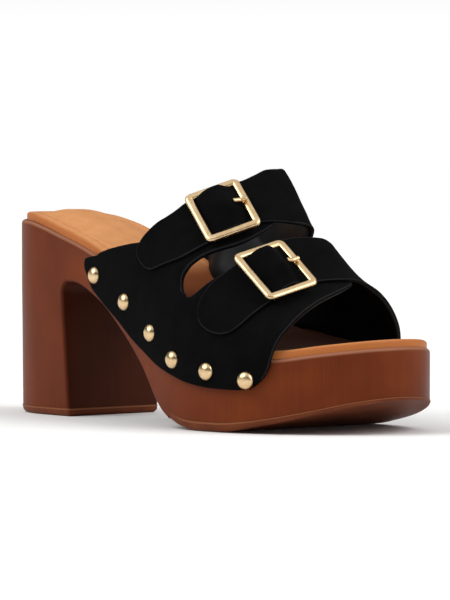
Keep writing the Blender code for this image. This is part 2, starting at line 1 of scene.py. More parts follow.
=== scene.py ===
import bmesh
import bpy
import numpy as np
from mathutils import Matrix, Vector


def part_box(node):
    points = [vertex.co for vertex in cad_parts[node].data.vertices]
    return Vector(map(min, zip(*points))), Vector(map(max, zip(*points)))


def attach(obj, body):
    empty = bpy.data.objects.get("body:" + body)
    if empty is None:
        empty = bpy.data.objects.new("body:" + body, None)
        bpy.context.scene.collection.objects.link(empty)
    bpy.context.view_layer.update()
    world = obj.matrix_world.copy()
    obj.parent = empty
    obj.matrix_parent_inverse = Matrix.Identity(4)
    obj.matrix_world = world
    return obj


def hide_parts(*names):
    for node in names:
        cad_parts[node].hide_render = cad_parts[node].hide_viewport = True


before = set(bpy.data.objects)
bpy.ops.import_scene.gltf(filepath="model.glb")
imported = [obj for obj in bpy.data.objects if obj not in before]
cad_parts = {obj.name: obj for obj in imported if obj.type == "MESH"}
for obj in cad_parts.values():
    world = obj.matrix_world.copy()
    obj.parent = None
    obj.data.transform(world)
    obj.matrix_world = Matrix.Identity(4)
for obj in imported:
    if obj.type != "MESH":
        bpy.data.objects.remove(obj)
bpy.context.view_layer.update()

# Sole unit: block heel, arched waist and platform cast in one piece of brown polyurethane, stained and
# waxed like wood. Every edge leaves the mould rounded. Shapes are worked out in millimetres, with x from
# the heel back to the toe tip, y towards the inner side of the foot and z up from the floor.
MM = 0.001
GAP = 0.3
OUTER, INNER = -1, 1
HEEL_LENGTH = 50.4
HEEL_FLARE_BACK = 2.5
HEEL_FLARE_BREAST = 2.4
HEEL_SIDE_TAPER = 0.078
HEEL_FLARE_TOP = 60.0
HEEL_FLARE_FADE = 6.0
TOP_PIECE = 3.3
BREAST_TOP = 50.0
BREAST_FILLET = 1.1
OUTSOLE_START = 143.0
TOP_ROUND = 1.7
WAIST_ROUND = 1.6
SEAM_ROUND = 0.12
ARC_STEPS = np.radians(np.linspace(0, 90, 7))
PLAN = (  # x, half width on the outer side, half width on the inner side
    (0.0, 0.0, 0.0), (1.5, 9.5, 8.6), (4.0, 14.8, 13.8), (8.0, 20.0, 18.8), (15.0, 25.2, 23.6),
    (24.0, 28.4, 26.0), (36.0, 29.6, 26.6), (50.0, 30.2, 25.8), (76.0, 32.2, 23.4), (103.0, 36.5, 22.6),
    (126.0, 41.0, 25.2), (144.0, 44.5, 31.8), (163.0, 46.0, 40.4), (180.0, 44.6, 44.6), (192.0, 41.2, 44.3),
    (208.0, 34.0, 40.5), (222.0, 23.8, 32.5), (230.0, 14.6, 23.6), (234.0, 6.8, 15.6), (236.0, -4.0, 4.0),
)
TOP_EDGE = (  # x, height of the sole's top edge
    (0, 88.5), (23, 87.5), (34, 85.4), (48, 81.5), (60, 78.2), (76, 73.0), (103, 61.5), (126, 49.0),
    (144, 39.5), (160, 33.6), (175, 31.3), (190, 30.5), (202, 31.0), (218, 33.4), (236, 36.2),
)
UNDERSIDE = (  # x, height of the underside from the heel breast to the toe
    (50.4, 56.5), (52, 59.0), (54.5, 60.2), (60, 60.0), (66, 58.6), (72, 56.2), (84, 50.4), (94, 44.2),
    (102, 38.6), (111, 31.8), (119, 25.0), (125, 18.6), (129, 13.8), (134, 9.2), (139, 5.9), (144, 3.5),
    (149, 1.8), (154, 0.7), (159, 0.15), (165, 0.0), (174, 0.0), (182, 0.7), (190, 2.2), (200, 4.2),
    (207, 5.8), (218, 8.8), (229, 12.0), (236, 13.8),
)
OUTSOLE_SEAM = (  # x, height of the seam between the sole unit and the outsole
    (141, 8.9), (145, 7.0), (150, 5.3), (155, 4.4), (161, 3.9), (168, 3.8), (176, 3.8), (190, 4.8),
    (200, 6.4), (207, 7.8), (218, 10.4), (229, 13.6), (236, 15.4),
)


def monotone(table, x):
    """Cubic through a table's (x, value) rows whose slopes are harmonic means, so it never overshoots."""
    rows = np.asarray(table, float)
    px, py = rows[:, 0], rows[:, 1]
    x = np.clip(np.asarray(x, float), px[0], px[-1])
    step = np.diff(px)
    slope = np.diff(py) / step
    tangent = np.empty_like(px)
    tangent[0], tangent[-1] = slope[0], slope[-1]
    left, right = slope[:-1], slope[1:]
    w1 = 2 * step[1:] + step[:-1]
    w2 = step[1:] + 2 * step[:-1]
    same = left * right > 0
    mean = (w1 + w2) / (w1 / np.where(same, left, 1.0) + w2 / np.where(same, right, 1.0))
    tangent[1:-1] = np.where(same, mean, 0.0)
    i = np.clip(np.searchsorted(px, x, side="right") - 1, 0, len(step) - 1)
    t = (x - px[i]) / step[i]
    a = (1 + 2 * t) * (1 - t) ** 2 * py[i] + t * (1 - t) ** 2 * step[i] * tangent[i]
    b = t * t * (3 - 2 * t) * py[i + 1] + t * t * (t - 1) * step[i] * tangent[i + 1]
    return a + b


def ease(value, start, stop):
    """Smooth step from 0 at start to 1 at stop."""
    t = np.clip((value - start) / (stop - start), 0, 1)
    return t * t * (3 - 2 * t)


def between(value, rise, fall):
    """Smooth step up across the first range and down again across the second."""
    return ease(value, *rise) * (1 - ease(value, *fall))


def plan_halves(per_row=48):
    """Closed centripetal spline through the plan's points, cut at heel and toe into two halves.

    A half's rows are x, y and the outward direction, from heel to toe.
    """
    rows = np.asarray(PLAN, float)
    outer = np.column_stack([rows[:, 0], -rows[:, 1]])
    inner = np.column_stack([rows[:, 0], rows[:, 2]])
    loop = np.vstack([outer, inner[-2:0:-1]])
    before, after, last = np.roll(loop, 1, 0), np.roll(loop, -1, 0), np.roll(loop, -2, 0)
    k0 = np.sqrt(np.linalg.norm(loop - before, axis=1))[:, None]
    k1 = np.sqrt(np.linalg.norm(after - loop, axis=1))[:, None]
    k2 = np.sqrt(np.linalg.norm(last - after, axis=1))[:, None]
    m1 = k1 * ((loop - before) / k0 - (after - before) / (k0 + k1) + (after - loop) / k1)
    m2 = k1 * ((after - loop) / k1 - (last - loop) / (k1 + k2) + (last - after) / k2)
    t = np.linspace(0, 1, per_row, endpoint=False)[:, None, None]
    points = ((2 * t ** 3 - 3 * t ** 2 + 1) * loop + (t ** 3 - 2 * t ** 2 + t) * m1
              + (3 * t ** 2 - 2 * t ** 3) * after + (t ** 3 - t ** 2) * m2)
    dense = points.transpose(1, 0, 2).reshape(-1, 2)
    along = np.roll(dense, -1, 0) - np.roll(dense, 1, 0)
    along /= np.linalg.norm(along, axis=1)[:, None]
    curve = np.column_stack([dense, along[:, 1], -along[:, 0]])
    curve = np.roll(curve, -int(np.argmin(curve[:, 0])), axis=0)
    toe = int(np.argmax(curve[:, 0]))
    return {OUTER: curve[:toe + 1], INNER: np.vstack([curve[toe:], curve[:1]])[::-1]}


PLAN_HALVES = plan_halves()
HEEL_BACK = PLAN_HALVES[OUTER][0, 0]
TOE_TIP = PLAN_HALVES[OUTER][-1, 0]


def plan_at(x, side):
    """y and outward direction (nx, ny) of one side of the plan at each station x."""
    half = PLAN_HALVES[side]
    known = np.maximum.accumulate(half[:, 0])
    y, nx, ny = (np.interp(x, known, half[:, k]) for k in (1, 2, 3))
    size = np.hypot(nx, ny)
    return y, nx / size, ny / size


def heel_flare(points):
    """Moves heel points: towards the floor the block spreads to back and breast and narrows sideways."""
    x, y, z = np.moveaxis(points, -1, 0)
    low = np.clip(1 - z / HEEL_FLARE_TOP, 0, 1) * (1 - ease(x, HEEL_LENGTH, HEEL_LENGTH + HEEL_FLARE_FADE))
    part = np.clip(x / HEEL_LENGTH, 0, 1)
    spread = low * (HEEL_FLARE_BREAST * part - HEEL_FLARE_BACK * (1 - part))
    return np.stack([x + spread, y * (1 - HEEL_SIDE_TAPER * low), z], -1)


def crowded(count, power=1.6):
    """Shares from 0 to 1 that crowd at both ends."""
    t = np.linspace(-1, 1, count)
    return 0.5 + 0.5 * np.sign(t) * (1 - (1 - np.abs(t)) ** power)


# The frame's origin is the middle of the CAD box, so the toe tip and the widest points give the shift.
sole_low, sole_high = (np.array(corner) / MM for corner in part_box("sole_unit"))
plan_wide = np.concatenate([PLAN_HALVES[OUTER][:, 1], PLAN_HALVES[INNER][:, 1]])
TO_FRAME = np.array([
    sole_high[0] - TOE_TIP,
    (sole_low[1] + sole_high[1] - plan_wide.min() - plan_wide.max()) / 2,
    0.0,
])
WELD = 2e-6
SHARP_ABOVE = 42


def make_piece(name, patches, materials, nodes, attributes=None):
    """Joins grids of points (rows, columns, xyz in mm) into one closed smooth mesh on the root body.

    A patch is (grid, closed round its columns, material index for all faces or for each face).
    """
    points, faces, finish = [], [], []
    start = 0
    for grid, closed, index in patches:
        rows, columns = grid.shape[:2]
        ids = start + np.arange(rows * columns).reshape(rows, columns)
        if closed:
            ids = np.hstack([ids, ids[:, :1]])
        quads = np.stack([ids[:-1, :-1], ids[:-1, 1:], ids[1:, 1:], ids[1:, :-1]], -1).reshape(-1, 4)
        points.append(grid.reshape(-1, 3))
        faces.append(quads)
        finish.append(np.broadcast_to(np.asarray(index).ravel(), (len(quads),)))
        start += rows * columns
    mesh = bpy.data.meshes.new(name)
    mesh.from_pydata((np.vstack(points) + TO_FRAME) * MM, [], np.vstack(faces).tolist())
    mesh.polygons.foreach_set("material_index", np.concatenate(finish).astype(np.int32))
    for label, values in (attributes or {}).items():
        layer = mesh.attributes.new(label, "FLOAT", "POINT")
        layer.data.foreach_set("value", np.asarray(values, np.float32).ravel())
    bm = bmesh.new()
    bm.from_mesh(mesh)
    bmesh.ops.remove_doubles(bm, verts=bm.verts[:], dist=WELD)
    bmesh.ops.dissolve_degenerate(bm, edges=bm.edges[:], dist=WELD / 2)
    bmesh.ops.recalc_face_normals(bm, faces=bm.faces[:])
    bm.to_mesh(mesh)
    bm.free()
    mesh.shade_smooth()
    mesh.set_sharp_from_angle(angle=np.radians(SHARP_ABOVE))
    for material in materials:
        mesh.materials.append(material)
    piece = bpy.data.objects.new(name, mesh)
    bpy.context.scene.collection.objects.link(piece)
    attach(piece, "root")
    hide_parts(*nodes)


HEEL_ROUND = 24.0
TOE_ROUND = 206.0
STATION_STEP = 1.5
HEEL_STATIONS = np.concatenate([
    HEEL_BACK + (HEEL_ROUND - HEEL_BACK) * (1 - np.cos(np.radians(np.linspace(0, 90, 26)))),
    np.linspace(HEEL_ROUND, HEEL_LENGTH - WAIST_ROUND, 16)[1:],
])
TOE_STATIONS = TOE_ROUND + (TOE_TIP - TOE_ROUND) * np.sin(np.radians(np.linspace(0, 90, 34)))
ARCH_STOP = OUTSOLE_START - 0.4
BREAST_LEAN = (30.0, 42.0), (62.0, 84.0)
SEAM_LEAN = (134.0, 140.0), (146.0, 156.0)


def breast_and_arch(step=0.1, spacing=0.9, taps=30):
    """Line in x and z up the heel breast and along the arch, rounded by a moving Gaussian average.

    Rows are x, z and the direction out of the solid, spaced evenly along the line.
    """
    rise = np.arange(BREAST_TOP, UNDERSIDE[0][1], step)
    x = np.arange(HEEL_LENGTH, ARCH_STOP, step)
    line = np.vstack([np.column_stack([np.full_like(rise, HEEL_LENGTH), rise]),
                      np.column_stack([x, monotone(UNDERSIDE, x)])])
    reach = np.arange(-taps, taps + 1) * step
    weight = np.exp(-0.5 * (reach / BREAST_FILLET) ** 2)
    padded = np.pad(line, ((taps, taps), (0, 0)), mode="reflect", reflect_type="odd")
    soft = np.stack([np.convolve(padded[:, k], weight / weight.sum(), "valid") for k in (0, 1)], -1)
    length = np.append(0, np.cumsum(np.linalg.norm(np.diff(soft, axis=0), axis=1)))
    at = np.linspace(0, length[-1], int(length[-1] / spacing))
    path = np.stack([np.interp(at, length, soft[:, k]) for k in (0, 1)], -1)
    path[0] = (HEEL_LENGTH, BREAST_TOP)
    along = np.gradient(path, axis=0)
    along /= np.linalg.norm(along, axis=1)[:, None]
    along[0] = (0.0, 1.0)
    return np.column_stack([path, along[:, 1], -along[:, 0]])


def heel_loop(inset=0.0, across=14):
    """Closed line round the heel: outer side, back, inner side, then the breast with rounded corners.

    Each point lies the given inset inside the plan, along the plan's own outward direction.
    """
    sides = []
    for side, order in ((OUTER, slice(None, None, -1)), (INNER, slice(1, None))):
        y, nx, ny = plan_at(HEEL_STATIONS, side)
        sides.append(np.column_stack([HEEL_STATIONS - inset * nx, y - inset * ny])[order])
    corner = HEEL_LENGTH - WAIST_ROUND
    radius = WAIST_ROUND - min(inset, WAIST_ROUND)
    y_in, y_out = (float(plan_at(corner, side)[0]) for side in (INNER, OUTER))
    turn = ARC_STEPS[1:]
    arc_in = np.column_stack([corner + radius * np.sin(turn), y_in - WAIST_ROUND + radius * np.cos(turn)])
    arc_out = np.column_stack([corner + radius * np.sin(turn), y_out + WAIST_ROUND - radius * np.cos(turn)])
    share = np.linspace(0, 1, across + 1)[1:-1]
    breast = arc_in[-1] + (arc_out[-1] - arc_in[-1]) * share[:, None]
    return np.vstack([*sides, arc_in, breast, arc_out[::-1]])


def sole_unit_patches(across=14, wall_rows=20, heel_rows=26, taps=12):
    """Sides, top, arch and heel block of the sole, as grids that share their border points.

    Sides run down from a rounded top edge at each station; where stations crowd below, their heads are
    spread by a moving average. The underside follows the arch line, with a quarter circle to each side.
    Below the breast's top the heel is its own closed line, level by level.
    Also gives how much painted shade each point has, which is 1 on the breast and the underside, and how much
    painted highlight, which is 1 along the middle of the rounded top edge.
    """
    arch = breast_and_arch()
    fore_x = np.concatenate([np.arange(OUTSOLE_START, TOE_ROUND, STATION_STEP), TOE_STATIONS])
    fore = np.column_stack([fore_x, monotone(OUTSOLE_SEAM, fore_x) + GAP,
                            np.zeros_like(fore_x), -np.ones_like(fore_x)])
    path = np.vstack([arch, fore])
    radius = np.concatenate([np.full(len(arch), WAIST_ROUND), np.full(len(fore) - 1, SEAM_ROUND), [0.0]])
    corner_x = path[:, 0] - path[:, 2] * radius
    corner_z = path[:, 1] - path[:, 3] * radius
    foot_x = np.concatenate([HEEL_STATIONS[:-1], corner_x])
    foot_z = np.concatenate([np.full(len(HEEL_STATIONS) - 1, BREAST_TOP), corner_z])
    weight = np.full(2 * taps + 1, 1 / (2 * taps + 1))
    spread = np.convolve(np.pad(foot_x, taps, mode="reflect", reflect_type="odd"), weight, "valid")
    crowd = np.maximum(between(foot_x, *BREAST_LEAN), between(foot_x, *SEAM_LEAN))
    head_x = foot_x + (spread - foot_x) * crowd
    top = monotone(TOP_EDGE, head_x)
    share = crowded(wall_rows)[1:, None]
    inset = np.vstack([TOP_ROUND * (1 - np.sin(ARC_STEPS))[:, None], 0 * share])
    columns = np.vstack([head_x + 0 * ARC_STEPS[:, None], head_x + (foot_x - head_x) * share])
    round_z = top - TOP_ROUND * (1 - np.cos(ARC_STEPS))[:, None]
    height = np.vstack([round_z, top - TOP_ROUND + (foot_z - top + TOP_ROUND) * share])
    walls, edges = [], []
    for side in (OUTER, INNER):
        y, nx, ny = plan_at(columns, side)
        walls.append(heel_flare(np.stack([columns - inset * nx, y - inset * ny, height], -1)))
        edges.append(plan_at(corner_x, side)[0])
    lid_share = np.linspace(0, 1, 5)[:, None, None]
    lid = walls[0][0] + (walls[1][0] - walls[0][0]) * lid_share

    lift = radius[:, None] * (1 - np.sin(ARC_STEPS))
    side_in = radius[:, None] * (1 - np.cos(ARC_STEPS))
    arc_x = path[:, :1] - path[:, 2:3] * lift
    arc_z = path[:, 1:2] - path[:, 3:4] * lift
    outer_y, inner_y = edges[0][:, None] + side_in, edges[1][:, None] - side_in
    share = np.linspace(0, 1, across + 1)[1:-1]
    flat_y = outer_y[:, -1:] + (inner_y[:, -1:] - outer_y[:, -1:]) * share
    flat = np.ones_like(flat_y)
    under = np.stack([np.hstack([arc_x, path[:, :1] * flat, arc_x[:, ::-1]]),
                      np.hstack([outer_y, flat_y, inner_y[:, ::-1]]),
                      np.hstack([arc_z, path[:, 1:2] * flat, arc_z[:, ::-1]])], -1)
    base = TOP_PIECE + GAP
    levels = np.concatenate([BREAST_TOP + (base + SEAM_ROUND - BREAST_TOP) * crowded(heel_rows),
                             base + SEAM_ROUND * (1 - np.sin(ARC_STEPS[1:]))])
    insets = np.concatenate([np.zeros(heel_rows), SEAM_ROUND * (1 - np.cos(ARC_STEPS[1:]))])
    heel = np.stack([np.column_stack([heel_loop(d), np.full(len(heel_loop()), z)])
                     for d, z in zip(insets, levels)])
    floor_side = heel[-1:].copy()
    middle = np.array([HEEL_LENGTH / 2, 0.0, base])
    cap = np.concatenate([floor_side, middle + (floor_side - middle) * 0.5,
                          np.broadcast_to(middle, floor_side.shape)])
    heel = heel_flare(np.concatenate([heel, cap[1:]]))
    grids = [walls[0], walls[1], lid, heel_flare(under), heel]
    turn = np.sin(ARC_STEPS)
    # Painted highlight along the middle of the rounded top edge.
    painted_edge_highlight = [np.zeros(grid.shape[:2]) for grid in grids]
    for rim in painted_edge_highlight[:2]:
        rim[:len(turn)] = np.sin(2 * ARC_STEPS)[:, None]
    # Painted shade on the underside and on the heel breast.
    painted_arch_shade = [np.zeros(grid.shape[:2]) for grid in grids]
    painted_arch_shade[3] += np.concatenate([turn, np.ones(across - 1), turn[::-1]])
    side_points = heel.shape[1] - (across - 1) - 2 * (len(turn) - 1)
    painted_arch_shade[4] += np.concatenate([np.zeros(side_points), turn[1:], np.ones(across - 1), turn[:0:-1]])
    return ([(grid, grid is heel, 0) for grid in grids], np.concatenate([h.ravel() for h in painted_arch_shade]),
            np.concatenate([r.ravel() for r in painted_edge_highlight]))


def linear(code):
    """Linear red, green and blue of an sRGB hex colour, with full opacity."""
    value = np.array([int(code[k:k + 2], 16) for k in (1, 3, 5)]) / 255
    low, high = value / 12.92, ((value + 0.055) / 1.055) ** 2.4
    return (*np.where(value <= 0.04045, low, high).tolist(), 1.0)


def add_node(tree, kind, out, inputs=None, stops=(), **settings):
    """Adds one shader node and gives its output of that name or number.

    Settings go on the node. Inputs hold a value, or the output that links to a socket. Stops are the
    positions and hex colours of a ramp.
    """
    made = tree.nodes.new("ShaderNode" + kind)
    for name, value in settings.items():
        setattr(made, name, value)
    for name, value in (inputs or {}).items():
        if isinstance(value, bpy.types.NodeSocket):
            tree.links.new(value, made.inputs[name])
        else:
            made.inputs[name].default_value = value
    for _ in stops[2:]:
        made.color_ramp.elements.new(0.5)
    for number, (position, code) in enumerate(stops):
        element = made.color_ramp.elements[number]
        element.position, element.color = position, linear(code)
    return made.outputs[out]


def start_material(name, **sockets):
    """New material with its Principled shader's constants set; spaces in socket names are underscores.

    Gives the material, its tree, the shader and the object coordinates that its patterns lie in.
    """
    material = bpy.data.materials.new(name)
    material.use_nodes = True
    tree = material.node_tree
    shader = tree.nodes["Principled BSDF"]
    for socket, value in sockets.items():
        shader.inputs[socket.replace("_", " ")].default_value = value
    return material, tree, shader, add_node(tree, "TexCoord", "Object")


def lay_over(tree, base, attribute, share, code):
    """Lays a second colour over the base wherever a point attribute says, at most by the given share."""
    where = add_node(tree, "Attribute", "Fac", attribute_name=attribute)
    amount = add_node(tree, "Math", 0, {0: where, 1: share}, operation="MULTIPLY")
    return add_node(tree, "Mix", 2, {0: amount, 6: base, 7: linear(code)}, data_type="RGBA")


def link_finish(tree, shader, colour, roughness, height, depth_mm, strength):
    """Joins colour, roughness and a bump of the given depth to the shader."""
    bump = add_node(tree, "Bump", "Normal", {"Height": height, "Strength": strength,
                                             "Distance": depth_mm * MM})
    tree.links.new(colour, shader.inputs["Base Color"])
    tree.links.new(roughness, shader.inputs["Roughness"])
    tree.links.new(bump, shader.inputs["Normal"])


# Stained polyurethane: a waxed brown skin, satin, with faint upright streaks of stain and soft clouding.
# The breast and the underside are painted darker as shade; the top edge has a paler painted highlight.
# Its pores are drawn coarser than real ones, so that they show.
STREAK_WIDTH = 1.1
STREAK_LENGTH = 38.0
CLOUD_SIZE = 26.0
CLOUD_SHARE = 0.74
PORE_SIZE = 0.45
ARCH_SHADE_SHARE = 0.7
EDGE_HIGHLIGHT_SHARE = 0.5
sole_skin, tree, shader, place = start_material("stained_polyurethane", IOR=1.5, Specular_IOR_Level=0.08)
upright = add_node(tree, "Mapping", "Vector", {
    "Vector": place,
    "Scale": (1 / (STREAK_WIDTH * MM), 1 / (STREAK_WIDTH * MM), 1 / (STREAK_LENGTH * MM))})
streak = add_node(tree, "TexNoise", "Fac", {"Vector": upright, "Scale": 1.0, "Detail": 3.0, "Roughness": 0.6})
cloud = add_node(tree, "TexNoise", "Fac", {"Vector": place, "Scale": 1 / (CLOUD_SIZE * MM), "Detail": 2.0})
pore = add_node(tree, "TexNoise", "Fac", {"Vector": place, "Scale": 1 / (PORE_SIZE * MM), "Detail": 2.0})
blend = add_node(tree, "Mix", 0, {0: CLOUD_SHARE, 2: streak, 3: cloud}, data_type="FLOAT")
stain = add_node(tree, "ValToRGB", "Color", {"Fac": blend},
                 stops=((0.32, "#5b2711"), (0.5, "#662c12"), (0.68, "#723414")))
# Painted shade: the breast and the underside are darkened towards a deep brown.
shaded = lay_over(tree, stain, "painted_arch_shade", ARCH_SHADE_SHARE, "#2a0e05")
# Painted highlight: the middle of the rounded top edge is made paler.
sole_colour = lay_over(tree, shaded, "painted_edge_highlight", EDGE_HIGHLIGHT_SHARE, "#b78468")
gloss = add_node(tree, "MapRange", "Result", {"Value": cloud, "To Min": 0.36, "To Max": 0.5})
link_finish(tree, shader, sole_colour, gloss, pore, 0.05, 0.3)
sole_grids, painted_arch_shade, painted_edge_highlight = sole_unit_patches()
make_piece("sole_body", sole_grids, [sole_skin], ["sole_unit"],
           {"painted_arch_shade": painted_arch_shade, "painted_edge_highlight": painted_edge_highlight})

# Forefoot outsole: a thin bottom layer of the same brown, cemented under the platform. Its upper edge
# stands a little proud as a fine line and catches the light, helped by a highlight painted on its crest;
# its lower edge is rolled for walking.
OUTSOLE_REAR = OUTSOLE_START - 2.0
OUTSOLE_FULL = OUTSOLE_START + 1.0
OUTSOLE_TUCK = 0.06
TUCK_ENDS = (OUTSOLE_START - 0.6, OUTSOLE_START + 0.4)
LAYER_SIDE = (  # inset from the plan, share of the layer's thickness
    (0.9, 1.0), (0.15, 1.0), (0.0, 0.98), (0.0, 0.9), (0.0, 0.82), (0.0, 0.72), (0.0, 0.64),
    (0.0, 0.52), (0.08, 0.42), (0.3, 0.3), (0.7, 0.18), (1.3, 0.07), (2.1, 0.0), (3.2, 0.0),
)
LINE_PROUD = 0.3
LINE_AT = 0.87
LINE_HALF = 0.14
LINE_STARTS = (OUTSOLE_START, OUTSOLE_START + 14.0)


def layer_inset():
    """Side profile of a bottom layer and the swell of its fine line, which falls off as a parabola."""
    inset, share = np.array(LAYER_SIDE).T
    return inset, share, LINE_PROUD * np.clip(1 - ((share - LINE_AT) / LINE_HALF) ** 2, 0, 1)


def layer_patches(across=12):
    """Outsole: the layer's side profile carried along both sides of the plan and closed above and below.

    Also gives how much painted highlight each point has, which is 1 on the crest of the fine line.
    """
    x = np.concatenate([np.linspace(OUTSOLE_REAR, OUTSOLE_FULL, 7),
                        np.arange(OUTSOLE_FULL + STATION_STEP, TOE_ROUND, STATION_STEP), TOE_STATIONS])
    tuck = OUTSOLE_TUCK * (1 - ease(x, *TUCK_ENDS))
    low = monotone(UNDERSIDE, x) + tuck
    depth = monotone(OUTSOLE_SEAM, np.maximum(x, OUTSOLE_START)) + GAP - low
    inset, share, line = (values[:, None] for values in layer_inset())
    inset = inset + tuck - line * ease(x, *LINE_STARTS)
    halves = []
    for side in (OUTER, INNER):
        y, nx, ny = plan_at(x, side)
        halves.append(np.stack(np.broadcast_arrays(x - inset * nx, y - inset * ny, low + share * depth), -1))
    outer, inner = halves
    t = np.linspace(0, 1, across + 1)[1:-1][:, None, None]
    floor_side = outer[-1] + (inner[-1] - outer[-1]) * t
    roof = inner[0] + (outer[0] - inner[0]) * t
    ring = np.concatenate([outer, floor_side, inner[::-1], roof]).transpose(1, 0, 2)
    plain = np.zeros((across - 1, len(x)))
    # Painted highlight along the crest of the fine line.
    crest_highlight = line / LINE_PROUD * ease(x, *LINE_STARTS)
    crest_highlight = np.concatenate([crest_highlight, plain, crest_highlight[::-1], plain]).T
    rear = ring[:1]
    rear_cap = np.concatenate([rear, np.broadcast_to(rear.mean(1, keepdims=True), rear.shape)])
    return [(ring, True, 0), (rear_cap, True, 0)], np.append(crest_highlight.ravel(), np.zeros(2 * rear.shape[1]))


# Moulded rubber-like polyurethane: the same stain, more worn through and drier than the side above.
# A highlight is painted paler along the crest of each layer's fine line.
PATCH_SIZE = 12.0
GRIT_SIZE = 0.6
CREST_HIGHLIGHT_SHARE = 0.8
bottom_skin, tree, shader, place = start_material("bottom_polyurethane", IOR=1.5, Specular_IOR_Level=0.12)
cloud = add_node(tree, "TexNoise", "Fac", {"Vector": place, "Scale": 1 / (PATCH_SIZE * MM), "Detail": 3.0})
grit = add_node(tree, "TexNoise", "Fac", {"Vector": place, "Scale": 1 / (GRIT_SIZE * MM), "Detail": 2.0})
stain = add_node(tree, "ValToRGB", "Color", {"Fac": cloud}, stops=((0.32, "#5c2a14"), (0.68, "#70371b")))
# Painted highlight: the crest of the fine line is made paler.
layer_colour = lay_over(tree, stain, "crest_highlight", CREST_HIGHLIGHT_SHARE, "#8c5839")
gloss = add_node(tree, "MapRange", "Result", {"Value": grit, "To Min": 0.42, "To Max": 0.58})
link_finish(tree, shader, layer_colour, gloss, grit, 0.06, 0.3)
outsole_grids, outsole_crest_highlight = layer_patches()
make_piece("outsole_layer", outsole_grids, [bottom_skin], ["forefoot_outsole"],
           {"crest_highlight": outsole_crest_highlight})

# Heel top piece: the same polyurethane in a layer under the heel block, cemented on and trimmed flush. Its
# upper edge has the same fine line as the outsole.


def top_piece_patches():
    """Heel's closed line at each level of the layer's side profile, closed at both ends by a fan.

    Also gives how much painted highlight each point has, as for the outsole.
    """
    depth = TOP_PIECE + GAP
    loops = [np.column_stack([heel_loop(inset - line), np.full(len(heel_loop()), share * depth)])
             for inset, share, line in zip(*layer_inset())]
    ends = [np.broadcast_to([HEEL_LENGTH / 2, 0.0, z], loops[0].shape) for z in (depth, 0.0)]
    crest_highlight = np.concatenate([[0.0], layer_inset()[2] / LINE_PROUD, [0.0]])
    return ([(heel_flare(np.stack([ends[0], *loops, ends[1]])), True, 0)],
            np.repeat(crest_highlight, len(loops[0])))


# The crest of the top piece's fine line carries the same painted highlight.
lift_grids, lift_crest_highlight = top_piece_patches()
make_piece("heel_lift", lift_grids, [bottom_skin], ["heel_top_piece"], {"crest_highlight": lift_crest_highlight})

# Footbed: a tan leather sock over a thin cushion, bound over its rim, with a groove pressed all round a
# few millimetres inside the edge. It is cemented on the sole, padded under the heel and dished in front.
FOOTBED_INSET = 1.3
FOOTBED_HEEL_INSET = 2.4
HEEL_INSET_ENDS = (10.0, 60.0)
FOOTBED_HEIGHT = 3.2
FOOTBED_SEAT = 0.02
SIDE_FOOT = 0.6
RIM_ROUND = 1.5
GROOVE_AT = 5.6
GROOVE_DEPTH = 0.75
GROOVE_WIDTH = 0.85
GROOVE_NARROW = 1.6
PAST_GROOVE = (9.0, 10.5)
DISH_DEPTH = 0.9
DISH_REACH = 15.0
DISH_STARTS = (70.0, 110.0)
PAD_RISE = 2.8
PAD_REACH = 20.0
PAD_ALONG = (6.0, 35.0), (36.0, 95.0)
PARED_SHARE = 0.45
PARED_REACH = 18.0
PARED_ALONG = (10.0, 30.0), (60.0, 100.0)


